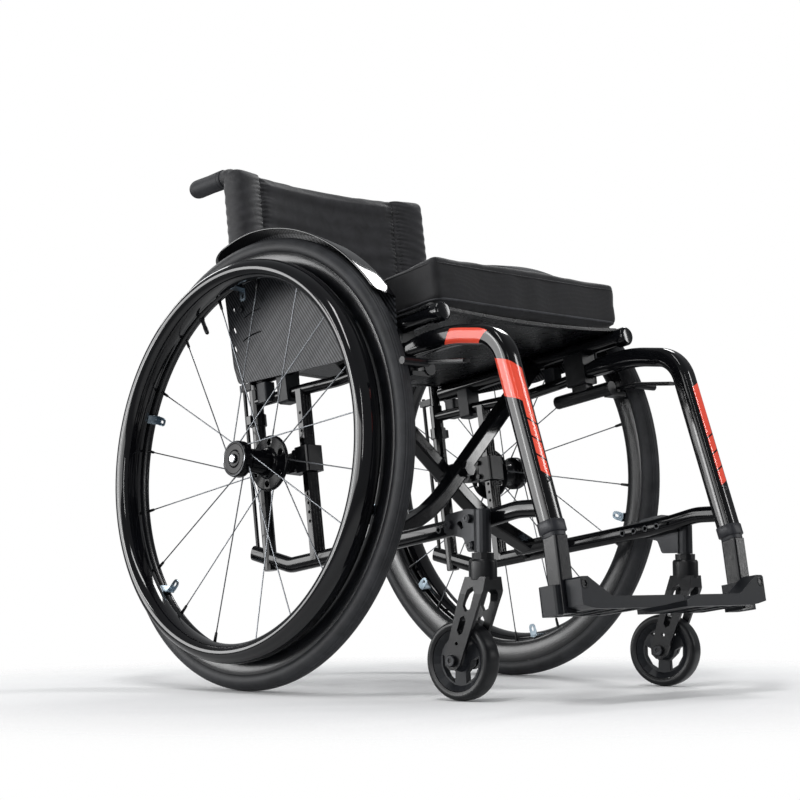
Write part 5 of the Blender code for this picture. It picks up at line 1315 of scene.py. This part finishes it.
def stitches(cloth_tree, x):
    """Short threads that cross the seam from 2.4 mm on one side to 2.4 mm on the other, laid
    where level rays meet the front of the cloth, each a small spindle."""
    sewn = []
    for up in np.arange(BACK_LOW + 0.006, BACK_HIGH - 0.008, 0.0044):
        start, end = (cloth_tree.ray_cast(Vector(on_frame(x + a, 0.05, up + 0.2 * a)), Vector(-AHEAD))[0]
                      for a in (-0.0024, 0.0024))
        if start is None or end is None:
            continue
        start, end = np.array(start), np.array(end)
        far = np.linalg.norm(end - start)
        sewn.append(spun([(0, 0.0001), (far * 0.2, 0.0005), (far * 0.8, 0.0005), (far, 0.0001)],
                         start, end - start, 6))
    return sewn


back_tree = tree_of(back)
for word, side in SIDES.items():
    skin("back_hood_" + word, hood(side), BACK_CLOTH, FRAMES[word], capped=True)
    sewn = stitches(tree_of(sleeves[word]), side * (SEAM_X + 0.0042))
    sewn += stitches(back_tree, side * (SEAM_X - 0.0046))
    skin("seam_stitching_" + word, sewn, THREAD, FRAMES[word], capped=True)
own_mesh(back)
for made in sleeves.values():
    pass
print(len(sewn), "stitches on each side")

# %% [markdown]
# ## Casters, footrests and the rest of the hardware
#
# The CAD solids of the machined and moulded parts already have their true shape, so they
# keep it and get their finish. Only the caster tyres are turned again, smoother, about the
# axes that the two casters stand on: in the photograph they are swivelled 6 and 14 degrees.

# %% Caster tyres
CASTERS = {"right": ((-0.191734, -0.232439, 0.0466), (0.994613, 0.103661, 0)),
           "left": ((0.181031, -0.233178, 0.0466), (0.970926, 0.239381, 0))}
CASTER_PROFILE = [(0.0115, 0.0365), (0.01275, 0.0402), (0.0122, 0.0438), (0.0100, 0.0457), (0.0060, 0.0464),
                  (0, 0.0466), (-0.0060, 0.0464), (-0.0100, 0.0457), (-0.0122, 0.0438), (-0.01275, 0.0402),
                  (-0.0115, 0.0365)]
for word, (middle, axis) in CASTERS.items():
    made = skin("caster_tyre_skin_" + word, spun(softened(CASTER_PROFILE, 0.002), middle, axis, 96),
                CASTER_RUBBER, "caster_wheel_" + word, rows_meet=True)
    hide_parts("caster_tyre_" + word)
print("caster tyres:", len(made.data.polygons), "faces each")

# %% [markdown]
# ### Screws and eyelets
#
# Socket screws hold the brackets, and the holes of the lower tube are lined with thin rings.
# They are tiny, but a machine without its screws looks like a toy. One function turns a head
# and lets its rings change from round to hexagonal on the way in, so the socket is really cut.

# %% Screws with hexagon sockets
def socket_screw(origin, axis, radius, high, key):
    """Rings of radius r (1 - h + h cos 30 / cos(a - 30)), a being the angle within its sixth:
    h is 0 for the round head and 1 for the hexagon socket sunk in it."""
    rows = [(0, radius, 0), (high * 0.6, radius, 0), (high, radius * 0.86, 0), (high, key * 1.12, 0),
            (high * 0.97, key, 1), (-high * 0.4, key * 0.96, 1), (-high * 0.4, 0, 1)]
    turn = 2 * pi * np.arange(48) / 48
    hexagon = cos(pi / 6) / np.cos(turn % (pi / 3) - pi / 6)
    axis = unit(axis)
    u = unit(np.cross(axis, (0, 0, 1)))
    ring = u * np.cos(turn)[:, None] + np.cross(axis, u) * np.sin(turn)[:, None]
    return np.stack([np.asarray(origin) + axis * a + ring * (r * (1 - h + h * hexagon))[:, None]
                     for a, r, h in rows])


for word, side in SIDES.items():
    path = upper_path(side)
    at = int(len(path) * 0.912)
    ahead = unit(np.cross((1, 0, 0), path[at + 1] - path[at]))
    ahead = ahead if ahead[1] < 0 else -ahead
    skin("leg_screw_" + word, socket_screw(path[at] + ahead * 0.0121, ahead, 0.0034, 0.0010, 0.0018), SATIN,
         FRAMES[word], sharp=30)
    foot = on_frame(side * 0.1645, 0.4757, -0.2280)
    skin("foot_screw_" + word, socket_screw(foot, AHEAD, 0.0064, 0.0012, 0.0043), SATIN,
         "footrest_" + word, sharp=30)
    nuts = [socket_screw((side * (FRAME_X + 0.0176), AXLE_Y + y, z), (side, 0, 0), 0.0042, 0.0012, 0.0021)
            for y, z in ((-0.3112, 0.2045), (-0.3425, 0.2110), (-0.3470, 0.1795))]
    skin("bracket_screws_" + word, nuts, BRACKET_METAL, FRAMES[word], sharp=30)
    ring = [(-0.0006, 0.0027), (-0.0006, 0.0040), (0.0003, 0.0044), (0.0009, 0.0040), (0.0009, 0.0027)]
    rings = [spun(ring, on_frame(side * FRAME_X + out * 0.0070, forward, LOWER_HOLES_UP), (out, 0, 0), 24)
             for forward in LOWER_HOLES_F for out in (-1, 1)]
    skin("tube_eyelets_" + word, rings, BRACKET_METAL, FRAMES[word], rows_meet=True, sharp=30)
    middle, axis = (np.array(v) for v in CASTERS[word])
    ends = [socket_screw(middle + axis * out * 0.0235, axis * out, 0.0066, 0.0014, 0.0030)
            for out in (-1, 1)]
    skin("caster_screws_" + word, ends, BRACKET_METAL, "caster_" + word, sharp=30)
    cup = [(0.1398, 0.0156), (0.1392, 0.0161), (0.1398, 0.0165), (0.1606, 0.0165), (0.1632, 0.0150),
           (0.1632, 0.0132), (0.1626, 0.0128)]
    cup = spun(softened(cup, 0.0006), (side * 0.1885, AXLE_Y - 0.3699, 0), (0, 0, 1), 40)
    skin("caster_cup_" + word, cup, SATIN, "caster_" + word, rows_meet=True)
print("screws and eyelets set")

# %% [markdown]
# ### Finishes for the solids that stay
#
# Brackets, forks, clamps and plates keep their CAD mesh and get a better material through its
# slot. No real edge is perfectly sharp: a bevel of 0.4 mm gives each one the thin line of
# light by which the eye tells a solid part from a paper one. The CAD mesh is loose triangles,
# so a Weld modifier joins them first.

# %% Finishes for the solids that stay
FINISHES = {"axle": TURNED, "release_button": TURNED, "axle_mount": SATIN,
            "axle_tube": FRAME_PAINT, "rear_post": FRAME_PAINT, "stay_rod": SATIN,
            "seat_saddle": PLASTIC, "brake_mount": SATIN, "brake_lever": SATIN,
            "brace_hinge": SATIN, "caster_bracket": BRACKET_METAL, "fork": SATIN,
            "caster_core": PLASTIC, "footrest_tube": GLOSS_PLATE, "foot_clamp": PLASTIC,
            "footplate": PLASTIC, "cross_brace": FRAME_PAINT}
for name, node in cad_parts.items():
    if not node.hide_render:
        node.material_slots[0].material = FINISHES[name.rsplit("_", 1)[0]]
        joined = node.modifiers.new("joined", "WELD")
        joined.merge_threshold = 0.00001
        eased = node.modifiers.new("eased edges", "BEVEL")
        eased.width = 0.0004
        eased.segments = 2
        eased.limit_method = "ANGLE"
        eased.angle_limit = radians(38)
print(sum(not n.hide_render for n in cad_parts.values()), "CAD nodes stay, refinished")

# %% [markdown]
# ## Studio
#
# The photograph is a low three-quarter view with a long lens, on white. Narrow soft boxes all
# round draw the thin white lines on the gloss tubes, and the world fills the rest at a plain
# level, so that a colour renders about as it is written.
#
# ### Floor
#
# A seat on nothing looks pasted in, so a pale floor keeps the wheels' shadow. It fades out in
# a wide ring, where the white world takes over, and so has no edge or horizon in the picture.

# %% Floor
floor_material, tree, shader, place = blank("pale studio floor", Specular_IOR_Level=0.1)
cloud, scuffs, grit = (
    add(tree, "TexNoise", {"Vector": place, "Scale": 1 / size, "Detail": 2.0}).outputs[0]
    for size in (0.5, 0.05, 0.002))
tone = add(tree, "ValToRGB", {"Fac": cloud}, stops=((0.3, "f6f6f6"), (0.7, "fafafa"))).outputs[0]
finish(floor_material, tree, shader, tone, scuffs, (0.8, 0.9), grit, 0.00001)
far = add(tree, "VectorMath", {0: place}, operation="LENGTH").outputs["Value"]
fade = add(tree, "MapRange", {"Value": far, "From Min": 0.45, "From Max": 0.95},
           interpolation_type="SMOOTHSTEP")
gone = add(tree, "BsdfTransparent")
both = add(tree, "MixShader", {0: fade.outputs[0], 1: shader.outputs[0], 2: gone.outputs[0]})
tree.links.new(both.outputs[0], tree.nodes["Material Output"].inputs["Surface"])
across, along = np.meshgrid(np.linspace(-1, 1, 9), np.linspace(-1, 1, 9))
floor = skin("floor", np.stack([across, along, 0 * across - 0.0002], -1), floor_material,
             columns_meet=False)
floor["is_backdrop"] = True
print("floor laid")

# %% [markdown]
# ### Lamps
#
# Black paint has no colour of its own to light; it is drawn by what it mirrors. A narrow box
# gives a thin line and a long one a broad band. The bands of the photograph look like those of
# a white wall along the left. Two boxes that add no diffuse light stand in for it: they draw
# the bands without washing out the red panels and the cloth.

# %% Lamps
def lamp(name, place, aim, wide, high, power):
    """A soft box, so many metres wide and high, that looks at a point."""
    light = bpy.data.lights.new(name, "AREA")
    light.shape = "RECTANGLE"
    light.size, light.size_y = wide, high
    light.energy = power
    holder = bpy.data.objects.new(name, light)
    way = Vector(aim) - Vector(place)
    holder.matrix_world = Matrix.Translation(place) @ way.to_track_quat("-Z", "Y").to_matrix().to_4x4()
    bpy.context.scene.collection.objects.link(holder)
    return holder


lamp("overhead box", (-0.9, -0.5, 2.3), (0, 0, 0.3), 0.28, 1.2, 16)
lamp("front strip", (-2.1, -2.3, 1.3), (0, 0, 0.35), 0.14, 1.7, 15)
lamp("left strip", (-2.5, 1.5, 1.0), (0, 0, 0.35), 0.2, 1.8, 20)
lamp("right strip", (1.9, -1.7, 1.1), (0, 0, 0.35), 0.15, 1.4, 12)
lamp("high box", (1.5, 0.5, 2.0), (0, 0, 0.4), 0.5, 0.5, 13)
lamp("back box", (0.0, 2.3, 1.6), (0, 0, 0.4), 0.5, 0.8, 8)

for name, place, wide, power in (("left wall", (-2.8, 1.6, 0.75), 3.6, 100),
                                 ("near wall", (-3.3, -0.8, 0.75), 1.8, 26)):
    lamp(name, place, (0, 0, 0.35), wide, 1.2, power).visible_diffuse = False

# %% [markdown]
# ### World
#
# The camera sees plain white, also through the faded edge of the floor. All else sees a
# weaker grey: enough to fill the shadows by diffuse light, and weaker still in reflections, so
# that gloss black stays black between its highlights.

# %% World
world = bpy.data.worlds.new("studio")
bpy.context.scene.world = world
world.use_nodes = True
tree = world.node_tree
tree.nodes.clear()
ray = add(tree, "LightPath")
seen = add(tree, "Math", {0: ray.outputs["Is Camera Ray"], 1: ray.outputs["Is Transmission Ray"]},
           operation="MAXIMUM")
ambient = add(tree, "Background", {"Color": colour("eceef1"), "Strength": 0.5})
white = add(tree, "Background", {"Color": colour("ffffff"), "Strength": 1.0})
dim = add(tree, "Background", {"Color": colour("eceef1"), "Strength": 0.3})
room = add(tree, "MixShader", {0: ray.outputs["Is Glossy Ray"], 1: ambient.outputs[0], 2: dim.outputs[0]})
both = add(tree, "MixShader", {0: seen.outputs[0], 1: room.outputs[0], 2: white.outputs[0]})
add(tree, "OutputWorld", {"Surface": both.outputs[0]})
print("world:", len(tree.nodes), "nodes")

# %% [markdown]
# ### Camera
#
# The camera's place, direction and lens were worked out from points of the photograph whose
# true places the CAD model knows. It stands 2.4 m off, only 14 cm above the floor, with a long
# lens, so it looks slightly up and the near wheel doesn't swell.

# %% Camera
yaw, pitch, roll = radians(43.0592), radians(5.7892), radians(-0.4072)
forward = Vector((sin(yaw) * cos(pitch), cos(yaw) * cos(pitch), sin(pitch)))
right = Vector((cos(yaw), -sin(yaw), 0))
up = right.cross(forward)
level_right = right * cos(roll) + up * sin(roll)
level_up = up * cos(roll) - right * sin(roll)
camera = bpy.data.objects.new("camera", bpy.data.cameras.new("camera"))
camera.data.lens = 79.38
camera.data.sensor_width = 36
turn = Matrix((level_right, level_up, -forward)).transposed().to_4x4()
camera.matrix_world = Matrix.Translation((-1.6572, -1.8031 + AXLE_Y, 0.1412)) @ turn
bpy.context.scene.collection.objects.link(camera)
bpy.context.scene.camera = camera
bpy.context.scene.view_settings.view_transform = "Standard"
print("camera at", [round(v, 3) for v in camera.matrix_world.translation])

# %% [markdown]
# ## Sizes at the end
#
# The sizes of the CAD model and of the finished one are written side by side. They should
# agree to a few millimetres, since every surface here stands for a solid of the same shape.

# %% Sizes at the end
visual_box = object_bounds()
for name, box in (("CAD box", cad_box), ("visual box", visual_box)):
    print(name, [[round(v, 4) for v in corner] for corner in box])
